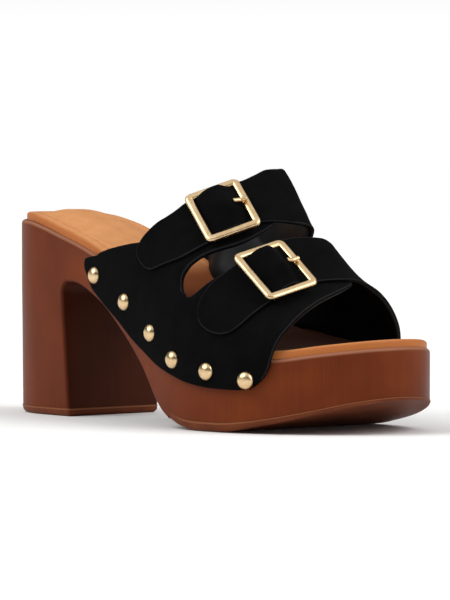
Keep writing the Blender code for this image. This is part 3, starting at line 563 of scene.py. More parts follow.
def footbed_patches(spine_rows=9):
    """Leather top: offset lines of the plan near the rim, then straight rows to a line down the middle.

    Height is the sole's edge plus the rim's quarter circle and a Gaussian groove. Within the groove it
    swells to a soft pad under the heel and dips to a shallow dish further on. The inner side of the heel
    is pared thin, because the solid's rim stands above the outline in the photograph there.
    Also gives each point's distance from the rim.
    """
    x = np.concatenate([HEEL_STATIONS, np.arange(HEEL_LENGTH + 0.1, TOE_ROUND, STATION_STEP), TOE_STATIONS])
    side_d = np.concatenate([np.zeros(3), RIM_ROUND * (1 - np.cos(ARC_STEPS[1:]))])
    side_up = np.concatenate([[FOOTBED_SEAT - GAP, SIDE_FOOT, FOOTBED_HEIGHT - RIM_ROUND],
                              FOOTBED_HEIGHT - RIM_ROUND * (1 - np.sin(ARC_STEPS[1:]))])
    groove_starts, groove_stops = GROOVE_AT - 2 * GROOVE_WIDTH, GROOVE_AT + 2 * GROOVE_WIDTH
    flat_d = np.concatenate([np.linspace(RIM_ROUND, groove_starts, 6)[1:],
                             np.linspace(groove_starts, groove_stops, 15)[1:], PAST_GROOVE])
    d = np.concatenate([side_d, flat_d])
    up = np.concatenate([side_up, np.full(len(flat_d), FOOTBED_HEIGHT)])
    near_rim = []
    for side in (OUTER, INNER):
        y, nx, ny = plan_at(x, side)
        heel_share = 1 - ease(x, *HEEL_INSET_ENDS)
        inset = FOOTBED_INSET + (FOOTBED_HEEL_INSET - FOOTBED_INSET) * heel_share + d[:, None]
        near_rim.append(np.stack([x - inset * nx, y - inset * ny], -1))
    spine = (near_rim[0][-1] + near_rim[1][-1]) / 2
    t = np.linspace(0, 1, spine_rows)[1:, None, None]
    grids, rims = [], []
    for flat in near_rim:
        inner_rows = flat[-1] + (spine - flat[-1]) * t
        half_width = np.linalg.norm(spine - flat[-1], axis=-1)
        plan = np.concatenate([flat, inner_rows])
        rim = np.concatenate([np.broadcast_to(d[:, None], flat.shape[:2]), d[-1] + half_width * t[..., 0]])
        rise = np.concatenate([up, np.full(spine_rows - 1, FOOTBED_HEIGHT)])[:, None]
        groove = GROOVE_DEPTH * np.exp(-((rim - GROOVE_AT) / GROOVE_WIDTH) ** 2 * GROOVE_NARROW)
        along, across = plan[..., 0], plan[..., 1]
        dish = DISH_DEPTH * ease(along, *DISH_STARTS) * ease(rim, GROOVE_AT, DISH_REACH)
        pad = PAD_RISE * between(along, *PAD_ALONG) * ease(rim, GROOVE_AT, PAD_REACH)
        pared = PARED_SHARE * between(along, *PARED_ALONG) * ease(across, 0, PARED_REACH)
        height = monotone(TOP_EDGE, along) + GAP + rise * (1 - pared) - groove - dish + pad
        grids.append(np.concatenate([plan, height[..., None]], -1))
        rims.append(rim)
    below = [grid[:1] for grid in grids]
    base = np.concatenate([below[0], (below[0] + below[1]) / 2, below[1]])
    base_rim = np.zeros(base.shape[:2])
    return ([(grids[0], False, 0), (grids[1], False, 0), (base, False, 0)],
            np.concatenate([rims[0].ravel(), rims[1].ravel(), base_rim.ravel()]))


# Vegetable-tanned cowhide: warm tan with a fine pebbled grain, burnished darker on its rim and in the
# groove. Under the upper it is matt, with shade painted on as a deeper brown, and under the front strap
# shade is painted nearly black, which gives the openings their deep shade.
GRAIN_SIZE = 0.9
FIBRE_PATCH = 7.0
RIM_BURNISH = 0.75
RIM_BURNISH_WIDTH = 1.6
GROOVE_BURNISH = 0.5
UPPER_SHADE_ALONG = (84.0, 106.0), (174.0, 194.0)
UPPER_SHADE_SHARE = 0.92
COVER_MATT = 0.38
DEEPEST_ALONG = (112.0, 130.0), (180.0, 194.0)
DEEPEST_SHADE_SHARE = 0.85
footbed_hide, tree, shader, place = start_material("tan_cowhide", IOR=1.48, Specular_IOR_Level=0.16)
pebble = add_node(tree, "TexVoronoi", "Distance", {"Vector": place, "Scale": 1 / (GRAIN_SIZE * MM)},
                  feature="SMOOTH_F1")
fibre = add_node(tree, "TexNoise", "Fac", {"Vector": place, "Scale": 1 / (FIBRE_PATCH * MM), "Detail": 5.0,
                                           "Roughness": 0.65})
tan = add_node(tree, "ValToRGB", "Color", {"Fac": fibre},
               stops=((0.30, "#c08350"), (0.5, "#c78956"), (0.72, "#ce905e")))
rim = add_node(tree, "Attribute", "Fac", attribute_name="rim_distance")
rim_burnish = add_node(tree, "MapRange", "Result", {
    "Value": rim, "From Min": 0.0, "From Max": RIM_BURNISH_WIDTH, "To Min": RIM_BURNISH, "To Max": 0.0})
off_groove = add_node(tree, "Math", 0, {0: rim, 1: GROOVE_AT}, operation="SUBTRACT")
from_groove = add_node(tree, "Math", 0, {0: off_groove}, operation="ABSOLUTE")
groove_burnish = add_node(tree, "MapRange", "Result", {
    "Value": from_groove, "From Min": 0.0, "From Max": GROOVE_WIDTH, "To Min": GROOVE_BURNISH, "To Max": 0.0})
burnish = add_node(tree, "Math", 0, {0: rim_burnish, 1: groove_burnish}, operation="ADD")
burnished = add_node(tree, "Mix", 2, {0: burnish, 6: tan, 7: linear("#a4561f")}, data_type="RGBA")
# Painted shade: a deeper brown under the upper, and nearly black under the front strap.
upper_shaded = lay_over(tree, burnished, "painted_shade_under_upper", UPPER_SHADE_SHARE, "#6a2f0e")
hide_colour = lay_over(tree, upper_shaded, "deep_shade", DEEPEST_SHADE_SHARE, "#140a06")
under_upper = add_node(tree, "Attribute", "Fac", attribute_name="painted_shade_under_upper")
gloss = add_node(tree, "MapRange", "Result", {"Value": fibre, "To Min": 0.42, "To Max": 0.62})
matt = add_node(tree, "Math", 0, {0: under_upper, 1: COVER_MATT, 2: gloss}, operation="MULTIPLY_ADD")
link_finish(tree, shader, hide_colour, matt, pebble, 0.08, 0.3)
footbed_grids, rim_distance = footbed_patches()
footbed_x = np.concatenate([grid[..., 0].ravel() for grid, _, _ in footbed_grids])
# The footbed's painted shade lies under the upper and, darkest, under the front strap.
make_piece("footbed", footbed_grids, [footbed_hide], ["insole"], {
    "rim_distance": rim_distance,
    "painted_shade_under_upper": between(footbed_x, *UPPER_SHADE_ALONG),
    "deep_shade": between(footbed_x, *DEEPEST_ALONG),
})

# Quarter: one panel of black suede on the outer side, from the hem on the sole's side up over the instep,
# with a U-shaped window. It is cut from hide with a raw edge and lined with smooth black leather.
WALL = 2.3
STRAP_LIFT = 1.5
FULLNESS_OUTER = 2.1
FULLNESS_INNER = 2.2
OUTER_SEAM = 145.5
EDGE_ROUND = 0.55
EDGE_RUBBED = (0.09, 0.5)
EDGE_OFFSETS = np.array([0.0, 0.04, 0.12, 0.28, 0.55])
HEM_DARK = 0.7
HEM_DEPTH = 13.0
WINDOW_GIRTH = 20.3
WINDOW_FULL = 26.0
UPPER_HEM = (  # x, height of the upper's lower edge
    (66, 66.5), (70, 64.2), (75, 60.2), (87, 52.3), (103, 43.4), (115, 36.4), (127, 30.8), (136, 26.8),
    (149, 22.7), (160, 20.0), (175, 18.3), (187, 18.0), (195, 18.6), (206, 20.0),
)
SECTIONS = (  # station on the sole, height of the arch, forward lean, inward crown, swell of the inner wall
    (60, 62.0, 0.55, 19.0, 7.0), (90, 61.0, 0.50, 19.0, 7.0), (118, 55.0, 0.43, 19.0, 3.0),
    (138, 49.2, 0.42, 14.4, -6.5), (147, 45.8, 0.42, 11.6, -9.0), (155, 42.4, 0.41, 14.3, -4.0),
    (180, 30.2, 0.36, 14.0, -3.5), (210, 22.0, 0.30, 14.0, -2.0),
)
# Edges below are rows of girth and station. Girth is -1 at the outer hem, 0 at the sole's outer edge, then
# degrees over the foot to 180 at the inner edge, and 181 at the inner hem.
QUARTER_REAR = (
    (-1, 78.5), (-0.8, 74.6), (-0.55, 72.2), (-0.3, 72.6), (-0.1, 75.6), (0, 78.4), (3, 83.6), (6, 88.4),
    (10, 95.2), (14, 101.5), (17, 106.0), (20, 108.8), (24, 111.3), (30, 114.5), (36, 117.0), (43, 118.5),
    (55, 121.0), (69, 124.0), (76, 126.0),
)
WINDOW_REAR = (
    (-1, OUTER_SEAM), (20.29, OUTER_SEAM), (20.3, OUTER_SEAM), (20.6, 143.6), (21.3, 141.8), (22.5, 140.3),
    (24, 139.0), (26, 138.2), (30, 138.0), (35, 139.0), (41, 141.0), (48, 143.8), (54, 145.8), (60, 146.6),
    (69, 146.0), (76, 144.0),
)
WINDOW_FRONT = (
    (-1, OUTER_SEAM), (20.29, OUTER_SEAM), (20.3, OUTER_SEAM), (20.6, 146.8), (21.3, 147.8), (22.5, 148.7),
    (24, 149.3), (27, 150.0), (30, 150.6), (34, 151.4), (40, 152.6), (48, 153.6), (60, 155.0), (76, 156.0),
    (90, 157.0),
)
QUARTER_FRONT = (
    (-1, 193.0), (-0.8, 196.8), (-0.55, 199.5), (-0.3, 201.0), (0, 201.8), (6, 202.0), (27, 202.0),
    (36, 201.3), (45, 200.0), (54, 198.3), (63, 196.0), (70, 194.0), (76, 191.8), (82, 189.0), (90, 184.0),
)


def foot_surface(station, girth):
    """Inner face of the upper: straight up the sole's side, then a superellipse arch that leans forward.

    Across the arch y falls with the cosine's power and height rises with the sine's power.
    """
    s, g = np.broadcast_arrays(np.asarray(station, float), np.asarray(girth, float))
    rows = np.asarray(SECTIONS, float)
    height, lean, crown, swell = (monotone(rows[:, (0, k)], s) for k in (1, 2, 3, 4))
    edge = monotone(TOP_EDGE, s)
    hem = monotone(UPPER_HEM, s)
    outer = plan_at(s, OUTER)[0] - GAP
    inner = plan_at(s, INNER)[0] + GAP
    angle = np.radians(np.clip(g, 0, 180))
    on_inner = np.cos(angle) < 0
    power = 2.0 / np.where(on_inner, FULLNESS_INNER, FULLNESS_OUTER)
    reach = np.abs(np.cos(angle)) ** power
    rise = height * np.abs(np.sin(angle)) ** power
    y = crown + (np.where(on_inner, inner, outer) - crown) * reach
    y = y + np.where(on_inner, swell * np.sin(2 * angle) ** 2, 0.0)
    drop = (np.clip(-g, 0, 1) + np.clip(g - 180, 0, 1)) * (edge - hem)
    return np.stack([s + lean * rise, y, edge + rise - drop], -1)


def foot_normal(station, girth, step=0.4, hem_step=0.02, near_hem=0.5):
    """Outward direction of the foot surface, from differences along station and girth."""
    g = np.asarray(girth, float)
    s = np.asarray(station, float)
    turn = np.where((g > near_hem) & (g < 180 - near_hem), step, hem_step)
    normal = np.cross(foot_surface(s + step, g) - foot_surface(s - step, g),
                      foot_surface(s, g + turn) - foot_surface(s, g - turn))
    return normal / np.linalg.norm(normal, axis=-1, keepdims=True)


def over_foot(station, girth, lift):
    """Points at a given lift above the foot surface."""
    return foot_surface(station, girth) + foot_normal(station, girth) * np.asarray(lift, float)[..., None]


def panel_strip(rear, front, girths, columns, edge_share=0.2):
    """Stations and girths of a strip between two edges, crowded within half a millimetre of each edge."""
    start, stop = monotone(rear, girths), monotone(front, girths)
    width = (stop - start)[:, None]
    near = np.minimum(EDGE_OFFSETS / width, EDGE_OFFSETS / EDGE_OFFSETS[-1] * edge_share)
    middle = near[:, -1:] + (1 - 2 * near[:, -1:]) * np.linspace(0, 1, columns)[1:-1]
    t = np.hstack([near, middle, 1 - near[:, ::-1]])
    return start[:, None] + width * t, np.broadcast_to(girths[:, None], t.shape)


def girth_rows(*spans):
    """Girths from one span to the next; a span is (start, stop, steps, power) and power crowds its start."""
    rows = [a + (b - a) * np.linspace(0, 1, n, endpoint=False) ** p for a, b, n, p in spans]
    return np.append(np.concatenate(rows), spans[-1][1])


def edge_distance(points, borders, block=1500):
    """Distance of each point from the nearest segment of the border lines."""
    a = np.vstack([line[:-1] for line in borders])
    b = np.vstack([line[1:] for line in borders])
    run = b - a
    size = np.maximum((run ** 2).sum(1), 1e-12)
    flat = points.reshape(-1, 3)
    found = []
    for part in np.array_split(flat, max(1, len(flat) // block)):
        share = np.clip(((part[:, None] - a) * run).sum(2) / size, 0, 1)
        found.append(np.linalg.norm(part[:, None] - a - share[..., None] * run, axis=2).min(1))
    return np.concatenate(found).reshape(points.shape[:-1])


def leather_patches(strips, low_high):
    """Outer and inner faces of a panel that meet in a rounded cut edge.

    A strip is (stations, girths, border lines of grid indices). Near the border both faces close
    towards the middle of the wall along an ellipse.
    """
    skins, borders = [], []
    for s, g, sides in strips:
        low, high = low_high(s, g)
        skins.append((s, g, low, high))
        middle = over_foot(s, g, (low + high) / 2)
        borders += [middle[side] for side in sides]
    patches = []
    for s, g, low, high in skins:
        middle = (low + high) / 2
        away = edge_distance(over_foot(s, g, middle), borders)
        open_share = np.sqrt(1 - (1 - np.clip(away / EDGE_ROUND, 0, 1)) ** 2)
        half = (high - low) / 2 * open_share
        far = (away[:-1, :-1] + away[1:, :-1] + away[:-1, 1:] + away[1:, 1:]) / 4
        above_hem = np.abs(g[:-1, :-1] - 90) < 90 + HEM_DARK
        cut = (far > EDGE_RUBBED[0]) & (far < EDGE_RUBBED[1]) & above_hem
        patches.append((over_foot(s, g, middle + half), False, np.where(cut, 1, 0)))
        patches.append((over_foot(s, g, middle - half), False, 2))
    return patches


FIRST, LAST, ALL = 0, -1, slice(None)
HEM_STEP = EDGE_OFFSETS / HEM_DEPTH
hem_rows = np.append(-1 + HEM_STEP[:-1], girth_rows((-1 + HEM_STEP[-1], 0, 14, 1.0))[:-1])
shared_rows = np.concatenate([hem_rows, girth_rows((0, WINDOW_GIRTH, 18, 1.0))[:-1]])
rear_top, front_top = QUARTER_REAR[-1][0], QUARTER_FRONT[-1][0]
rear_rows = np.concatenate([
    shared_rows, girth_rows((WINDOW_GIRTH, WINDOW_FULL, 16, 2.0), (WINDOW_FULL, rear_top, 44, 1.0))])
front_rows = np.concatenate([rear_rows[:-1], girth_rows((rear_top, front_top, 12, 1.0))])
window_from = slice(len(shared_rows), None)
quarter_strips = [
    (*panel_strip(QUARTER_REAR, WINDOW_REAR, rear_rows, 34),
     [(ALL, FIRST), (FIRST, ALL), (LAST, ALL), (window_from, LAST)]),
    (*panel_strip(WINDOW_FRONT, QUARTER_FRONT, front_rows, 34),
     [(ALL, LAST), (FIRST, ALL), (LAST, ALL), (window_from, FIRST)]),
]


def quarter_wall(s, g):
    """Quarter lies on the foot surface with its full wall."""
    return np.zeros_like(s), np.full_like(s, WALL)


# Black suede: split hide with its nap raised, so it swallows light; brushed patches show a shade paler.
# The nap is drawn coarser than real nap, so that it shows.
NAP_SIZE = 0.7
BRUSH_SIZE = 9.0
suede, tree, shader, place = start_material(
    "black_suede", IOR=1.45, Sheen_Weight=0.02, Sheen_Roughness=0.5, Sheen_Tint=linear("#8a8a90"),
    Specular_IOR_Level=0.05)
nap = add_node(tree, "TexNoise", "Fac", {"Vector": place, "Scale": 1 / (NAP_SIZE * MM), "Detail": 4.0,
                                         "Roughness": 0.7})
brush = add_node(tree, "TexNoise", "Fac", {"Vector": place, "Scale": 1 / (BRUSH_SIZE * MM), "Detail": 2.0})
fur = add_node(tree, "Math", 0, {0: nap, 1: brush}, operation="MULTIPLY")
black = add_node(tree, "ValToRGB", "Color", {"Fac": fur},
                 stops=((0.10, "#040405"), (0.26, "#070708"), (0.5, "#0c0c0e")))
dull = add_node(tree, "MapRange", "Result", {"Value": nap, "To Min": 0.85, "To Max": 1.0})
link_finish(tree, shader, black, dull, nap, 0.18, 0.5)

# Raw cut edge: the hide's grey core shows as a thin paler line, fibrous and matt. Its fibres are drawn
# coarser than real ones, so that they show.
CORE_FIBRE = 0.5
cut_edge, tree, shader, place = start_material("raw_cut_edge", IOR=1.45, Specular_IOR_Level=0.2)
fibre = add_node(tree, "TexNoise", "Fac", {"Vector": place, "Scale": 1 / (CORE_FIBRE * MM), "Detail": 3.0})
grey = add_node(tree, "ValToRGB", "Color", {"Fac": fibre}, stops=((0.3, "#0e0e10"), (0.7, "#1a1a1d")))
dull = add_node(tree, "MapRange", "Result", {"Value": fibre, "To Min": 0.75, "To Max": 0.9})
link_finish(tree, shader, grey, dull, fibre, 0.1, 0.4)

# Lining: smooth black sheep leather with a fine grain and a soft gloss.
LINING_GRAIN = 0.8
LINING_CLOUD = 8.0
lining, tree, shader, place = start_material("black_lining_leather", IOR=1.48, Specular_IOR_Level=0.12)
grain = add_node(tree, "TexVoronoi", "Distance", {"Vector": place, "Scale": 1 / (LINING_GRAIN * MM)})
cloud = add_node(tree, "TexNoise", "Fac", {"Vector": place, "Scale": 1 / (LINING_CLOUD * MM), "Detail": 3.0})
dark = add_node(tree, "ValToRGB", "Color", {"Fac": cloud}, stops=((0.3, "#030405"), (0.7, "#06080b")))
gloss = add_node(tree, "MapRange", "Result", {"Value": cloud, "To Min": 0.42, "To Max": 0.58})
link_finish(tree, shader, dark, gloss, grain, 0.05, 0.25)

UPPER_FINISH = [suede, cut_edge, lining]
make_piece("quarter", leather_patches(quarter_strips, quarter_wall), UPPER_FINISH, ["upper"])

# Vamp and straps: one panel of the same suede on the inner side, split above into two straps that cross
# the instep and lie with round ends on the quarter. Inside each buckle the strap rises over a hidden bar.
INNER_SEAM = 146.0
STRAP_TOP = STRAP_LIFT + WALL
STRAP_GAP = 0.05
REAR_SETTLE = (72.0, 100.0)
FRONT_SETTLE = (86.0, 112.0)
STRAP_SPLIT = 150.0
SPLIT_GIRTH = 159.6
SPLIT_NEARS = 150.0
LINING_ROLL = 13.0
ROLL_ALONG = (84.0, 108.0), (132.0, 158.0)
ROLL_UP = (0.05, 1.4), (4.0, 22.0)
BULGE_CREST = 1.5
BULGE_ENDS = 0.1
BULGE_RISE, BULGE_FALL = 2.6, 10.0
BULGE_STEP = 0.55
BULGE_SLOPE = (1.5, 7.5)
BULGE_FRONT = 0.68
BULGE_SPILL = 0.9
BULGE_SIDES = 16
FRAME_LONG = 30.0
FRAME_SHORT = 25.0
BAR_WIDTH = 3.0
BAR_HEIGHT = 2.4
REAR_STRAP_REAR = (
    (12.9, 113.0), (13.3, 111.0), (14, 109.4), (15, 108.4), (17, 108.0), (20, 108.3), (24, 109.3),
    (29, 111.0), (33, 113.0), (38, 114.6), (43, 115.4), (55, 118.0), (69, 121.0), (75, 120.2), (82, 118.4),
    (92, 118.0), (105, 114.5), (120, 108.0), (136, 99.0), (150, 89.5), (160, 84.0), (170, 79.5),
    (177, 76.5), (180, 75.0), (180.1, 73.0), (180.3, 70.0), (180.55, 69.5), (180.8, 72.0), (181, 76.0),
)
REAR_STRAP_FRONT = (
    (12.9, 116.5), (13.3, 118.5), (14, 120.5), (15, 122.2), (17, 124.2), (20, 126.6), (24, 129.8),
    (29, 133.2), (36, 136.2), (45, 138.8), (55, 140.5), (67, 142.2), (80, 145.0), (95, 147.0), (110, 147.5),
    (120, 147.0), (130, 145.5), (140, 143.0), (148, 141.0), (153, 140.4), (156, 141.0), (158, 142.4),
    (159, 144.0), (159.6, INNER_SEAM), (159.61, INNER_SEAM), (181, INNER_SEAM),
)
FRONT_STRAP_REAR = (
    (13.9, 169.0), (14.2, 166.5), (15, 163.5), (16, 161.5), (17.5, 159.6), (20, 157.2), (23, 155.5),
    (27, 154.3), (34, 153.6), (40, 154.0), (47, 154.2), (60, 153.3), (74, 152.5), (81, 153.0), (89, 154.0),
    (100, 155.5), (120, 156.5), (140, 156.0), (148, 155.0), (153, 153.6), (156, 152.0), (158, 150.0),
    (159, 148.2), (159.6, INNER_SEAM), (159.61, INNER_SEAM), (181, INNER_SEAM),
)
FRONT_STRAP_FRONT = (
    (13.9, 172.0), (14.2, 175.0), (15, 177.2), (17, 179.6), (20, 181.3), (23, 182.2), (32, 183.0),
    (41, 183.2), (55, 182.5), (73, 181.5), (82, 182.5), (100, 184.5), (120, 186.5), (140, 188.0),
    (155, 188.2), (170, 188.0), (180, 187.6), (180.3, 187.4), (180.55, 186.6), (180.8, 184.8), (181, 181.5),
)
BUCKLES = (  # name, outer bar (station, girth), inner bar (station, girth), rise of the strap within
    ("rear_buckle", (129.0, 45.0), (133.5, 64.0), 7.0),
    ("front_buckle", (168.9, 46.4), (170.7, 69.4), 8.8),
)


def buckle_axes(outer_bar, inner_bar):
    """Middle of a buckle on its strap, with directions across the strap, along it and out of it."""
    middle = ((outer_bar[0] + inner_bar[0]) / 2, (outer_bar[1] + inner_bar[1]) / 2)
    out = foot_normal(*middle)
    along = over_foot(*inner_bar, STRAP_TOP) - over_foot(*outer_bar, STRAP_TOP)
    along = along - out * (along @ out)
    along = along / np.linalg.norm(along)
    return over_foot(*middle, STRAP_TOP), -np.cross(out, along), along, out


def strap_wall(s, g):
    """Strap lies on the quarter near its end and settles on the foot further in.

    Within a buckle it rises gently from the outer bar to a crest, steps down to the prong, drops steeply at
    the inner bar, and lies lower at the strap's front edge. At the inner side of the waist the lining rolls
    inwards over the edge of the footbed.
    """
    settle = np.where(s[..., None] < STRAP_SPLIT, REAR_SETTLE, FRONT_SETTLE)
    on_quarter = 1 - ease(g, settle[..., 0], settle[..., 1])
    roll = LINING_ROLL * between(s, *ROLL_ALONG) * between(180 - g, *ROLL_UP)
    low = on_quarter * (WALL + STRAP_GAP) - roll
    high = WALL + STRAP_LIFT * on_quarter
    skin = over_foot(s, g, high)
    for _, outer_bar, inner_bar, bulge in BUCKLES:
        origin, across, along, out = buckle_axes(outer_bar, inner_bar)
        u, v, w = ((skin - origin) @ axis for axis in (across, along, out))
        half_u, half_v = FRAME_LONG / 2 - BAR_WIDTH, FRAME_SHORT / 2 - BAR_WIDTH - BULGE_ENDS
        outward = np.clip((BULGE_CREST - v) / (half_v + BULGE_CREST), 0, 1) ** BULGE_RISE
        inward = np.clip((v - BULGE_CREST) / (half_v - BULGE_CREST), 0, 1) ** BULGE_FALL
        inward = BULGE_STEP * ease(v, *BULGE_SLOPE) + (1 - BULGE_STEP) * inward
        bow = (1 - outward - inward) * (1 - BULGE_FRONT * ease(u, 0, half_u))
        bow = bow * np.clip(1 - np.abs(u / (half_u + BULGE_SPILL)) ** BULGE_SIDES, 0, 1)
        rise = bulge * np.where(np.abs(w) < FRAME_SHORT / 2, bow, 0)
        low, high = low + rise, high + rise
    return low, high


hem_end = 181 - HEM_STEP[::-1]
closing_rows = np.concatenate([
    SPLIT_GIRTH - (SPLIT_GIRTH - SPLIT_NEARS) * np.linspace(1, 0, 16) ** 2.0,
    girth_rows((SPLIT_GIRTH, 180, 16, 1.0))[1:-1], girth_rows((180, hem_end[0], 14, 1.0))[:-1], hem_end])
strap_strips = []
for rear, front, rim, cleft in ((REAR_STRAP_REAR, REAR_STRAP_FRONT, FIRST, LAST),
                                (FRONT_STRAP_REAR, FRONT_STRAP_FRONT, LAST, FIRST)):
    strap_end = girth_rows((rear[0][0], 20, 18, 2.0), (20, SPLIT_NEARS, 110, 1.0))[:-1]
    girths = np.concatenate([strap_end, closing_rows])
    to_split = slice(None, int(np.argmin(np.abs(girths - SPLIT_GIRTH))) + 1)
    strap_strips.append((*panel_strip(rear, front, girths, 30),
                         [(ALL, rim), (FIRST, ALL), (LAST, ALL), (to_split, cleft)]))
make_piece("vamp_and_straps", leather_patches(strap_strips, strap_wall), UPPER_FINISH,
           ["upper"])

# Studs: domed brass caps, pressed and plated in pale gold, nailed through the hem into the sole's side. Six
# stand along the outer hem and six along the inner one.
STUD_RADIUS = 3.85
STUD_RISE = 2.8
STUD_SINK = 0.35
STUD_FULLNESS = 0.85
STUDS = (  # outer station, outer height, inner station, inner height
    (81.5, 63.6, 81.0, 63.6), (108.3, 52.6, 105.0, 52.5), (131.8, 40.0, 126.0, 40.5),
    (150.1, 29.4, 143.5, 32.0), (172.2, 25.3, 161.0, 26.0), (191.5, 22.2, 179.0, 24.0),
)
UP = np.array([0.0, 0.0, 1.0])

# Pale gold plate: polished, with a soft haze and hair scratches that spread the highlights a little. The
# scratches are drawn wider than real ones, so that they show.
SCRATCH_WIDTH = 0.25
SCRATCH_LENGTH = 6.0
HAZE_SIZE = 3.0
gold, tree, shader, place = start_material("pale_gold_plate", Metallic=1.0)
haze = add_node(tree, "TexNoise", "Fac", {"Vector": place, "Scale": 1 / (HAZE_SIZE * MM), "Detail": 4.0})
hair = add_node(tree, "Mapping", "Vector", {
    "Vector": place,
    "Scale": (1 / (SCRATCH_WIDTH * MM), 1 / (SCRATCH_LENGTH * MM), 1 / (SCRATCH_WIDTH * MM))})
scratch = add_node(tree, "TexNoise", "Fac", {"Vector": hair, "Scale": 1.0, "Detail": 2.0})
plate = add_node(tree, "ValToRGB", "Color", {"Fac": haze}, stops=((0.3, "#d6b585"), (0.7, "#e6caa0")))
gloss = add_node(tree, "MapRange", "Result", {"Value": haze, "To Min": 0.22, "To Max": 0.34})
link_finish(tree, shader, plate, gloss, scratch, 0.01, 0.3)


def stud_patches(station, girth, turns=40, rings=14):
    """Dome: a rim that turns up steeply, then a flattened half ellipse spun round the hem's direction."""
    centre = over_foot(station, girth, WALL - STUD_SINK)
    out = foot_normal(station, girth)
    up = UP - out * (UP @ out)
    up = up / np.linalg.norm(up)
    side = np.cross(out, up)
    a = np.radians(np.linspace(0, 90, rings))
    radius = np.concatenate([[0.0], STUD_RADIUS * np.cos(a) ** STUD_FULLNESS])
    rise = np.concatenate([[0.0], STUD_RISE * np.sin(a)])
    turn = np.linspace(0, 2 * np.pi, turns, endpoint=False)
    spoke = np.cos(turn)[:, None] * side + np.sin(turn)[:, None] * up
    return [(centre + radius[:, None, None] * spoke + rise[:, None, None] * out, True, 0)]


for number, (outer_x, outer_z, inner_x, inner_z) in enumerate(STUDS, 1):
    for label, station, height in (("outer", outer_x, outer_z), ("inner", inner_x, inner_z)):
        edge, hem = float(monotone(TOP_EDGE, station)), float(monotone(UPPER_HEM, station))
        share = (edge - height) / (edge - hem)
        girth = -share if label == "outer" else 180 + share
        make_piece(f"dome_{label}_{number}", stud_patches(station, girth), [gold],
                   [f"stud_{label}_{number}"])

# Buckles: cast square frames with soft corners, plated in the same pale gold, lying on the straps. Each has
# a short prong that comes up through the strap and rests on the inner bar.
FRAME_CORNER = 3.2
BAR_SQUARENESS = 0.78
BAR_FLAT = 1.14
PRONG_RADIUS = 0.95
PRONG_LENGTH = 6.5
PRONG_END = 0.9
PRONG_BEND = ((0.0, -1.3), (0.3, -0.55), (0.6, 0.0), (1.0, 0.0))  # share of the length, drop
PRONG_ROUND = 0.2
FRAME_SPAN = (18.0, 20.0)
FRAME_MARGIN = 0.5


def bar_section(half_width, half_height, segments=28):
    """Superellipse: cosine and sine to a power below one, so the bar has flat faces and round edges."""
    turn = np.linspace(0, 2 * np.pi, segments, endpoint=False)
    c, s = np.cos(turn), np.sin(turn)
    return (np.sign(c) * np.abs(c) ** BAR_SQUARENESS * half_width,
            np.sign(s) * np.abs(s) ** BAR_SQUARENESS * half_height)


def frame_path(width, depth, radius, per_corner=14, per_side=6):
    """Rectangle with quarter-circle corners: points and outward directions."""
    turn = np.radians(np.arange(4)[:, None] * 90 + np.linspace(0, 90, per_corner))
    outward = np.stack([np.cos(turn), np.sin(turn)], -1)
    signs = np.array([(1, 1), (-1, 1), (-1, -1), (1, -1)])[:, None]
    corner = signs * (np.array([width, depth]) / 2 - radius) + radius * outward
    t = np.linspace(0, 1, per_side + 2)[1:-1][:, None]
    side = corner[:, -1:] + (np.roll(corner, -1, 0)[:, :1] - corner[:, -1:]) * t
    flat = np.broadcast_to(outward[:, -1:], side.shape)
    path = np.concatenate([corner, side], 1).reshape(-1, 2)
    return path, np.concatenate([outward, flat], 1).reshape(-1, 2)


def frame_height(middle, origin, across, along, out):
    """Height of the highest strap point that lies under the frame's bars."""
    s, g = np.meshgrid(middle[0] + np.linspace(-FRAME_SPAN[0], FRAME_SPAN[0], 31),
                       middle[1] + np.linspace(-FRAME_SPAN[1], FRAME_SPAN[1], 31))
    skin = over_foot(s, g, np.full(s.shape, STRAP_TOP)) - origin
    outside = np.maximum(np.abs(skin @ across) - FRAME_LONG / 2, np.abs(skin @ along) - FRAME_SHORT / 2)
    under = (outside < FRAME_MARGIN) & (outside > -BAR_WIDTH - FRAME_MARGIN)
    return float((skin @ out)[under].max()) + GAP


for name, outer_bar, inner_bar, _ in BUCKLES:
    origin, across, along, out = buckle_axes(outer_bar, inner_bar)
    middle = (np.array(outer_bar) + np.array(inner_bar)) / 2
    base = frame_height(middle, origin, across, along, out)
    path, outward = frame_path(FRAME_LONG - BAR_WIDTH, FRAME_SHORT - BAR_WIDTH,
                               FRAME_CORNER - BAR_WIDTH / 2)
    wide, tall = bar_section(BAR_WIDTH / 2, BAR_HEIGHT / 2)
    axes = np.stack([across, along])
    wide = wide * BAR_FLAT - BAR_WIDTH / 2 * (BAR_FLAT - 1)
    line = origin + path @ axes + (base + BAR_HEIGHT / 2) * out
    bars = line[:, None] + wide[None, :, None] * (outward @ axes)[:, None] + tall[None, :, None] * out
    loop = np.concatenate([bars, bars[:1]])
    make_piece(f"{name}_bars", [(loop, True, 0)], [gold], [f"{name}_frame"])

    t = np.linspace(0, 1, 25)
    bend = monotone(PRONG_BEND, t)
    reach = FRAME_SHORT / 2 - PRONG_END - PRONG_LENGTH * (1 - t)
    over = base + BAR_HEIGHT + GAP + PRONG_RADIUS - bend
    line = origin + reach[:, None] * along + over[:, None] * out
    past_end = np.clip(np.abs(2 * t - 1) - (1 - PRONG_ROUND), 0, 1) / PRONG_ROUND
    girdle = np.sqrt(np.clip(1 - past_end ** 2, 0, 1))
    wide, tall = bar_section(PRONG_RADIUS, PRONG_RADIUS, 20)
    section = wide[None, :, None] * across + tall[None, :, None] * out
    rod = line[:, None] + girdle[:, None, None] * section
    make_piece(f"{name}_tongue", [(rod, True, 0)], [gold], [f"{name}_prong"])

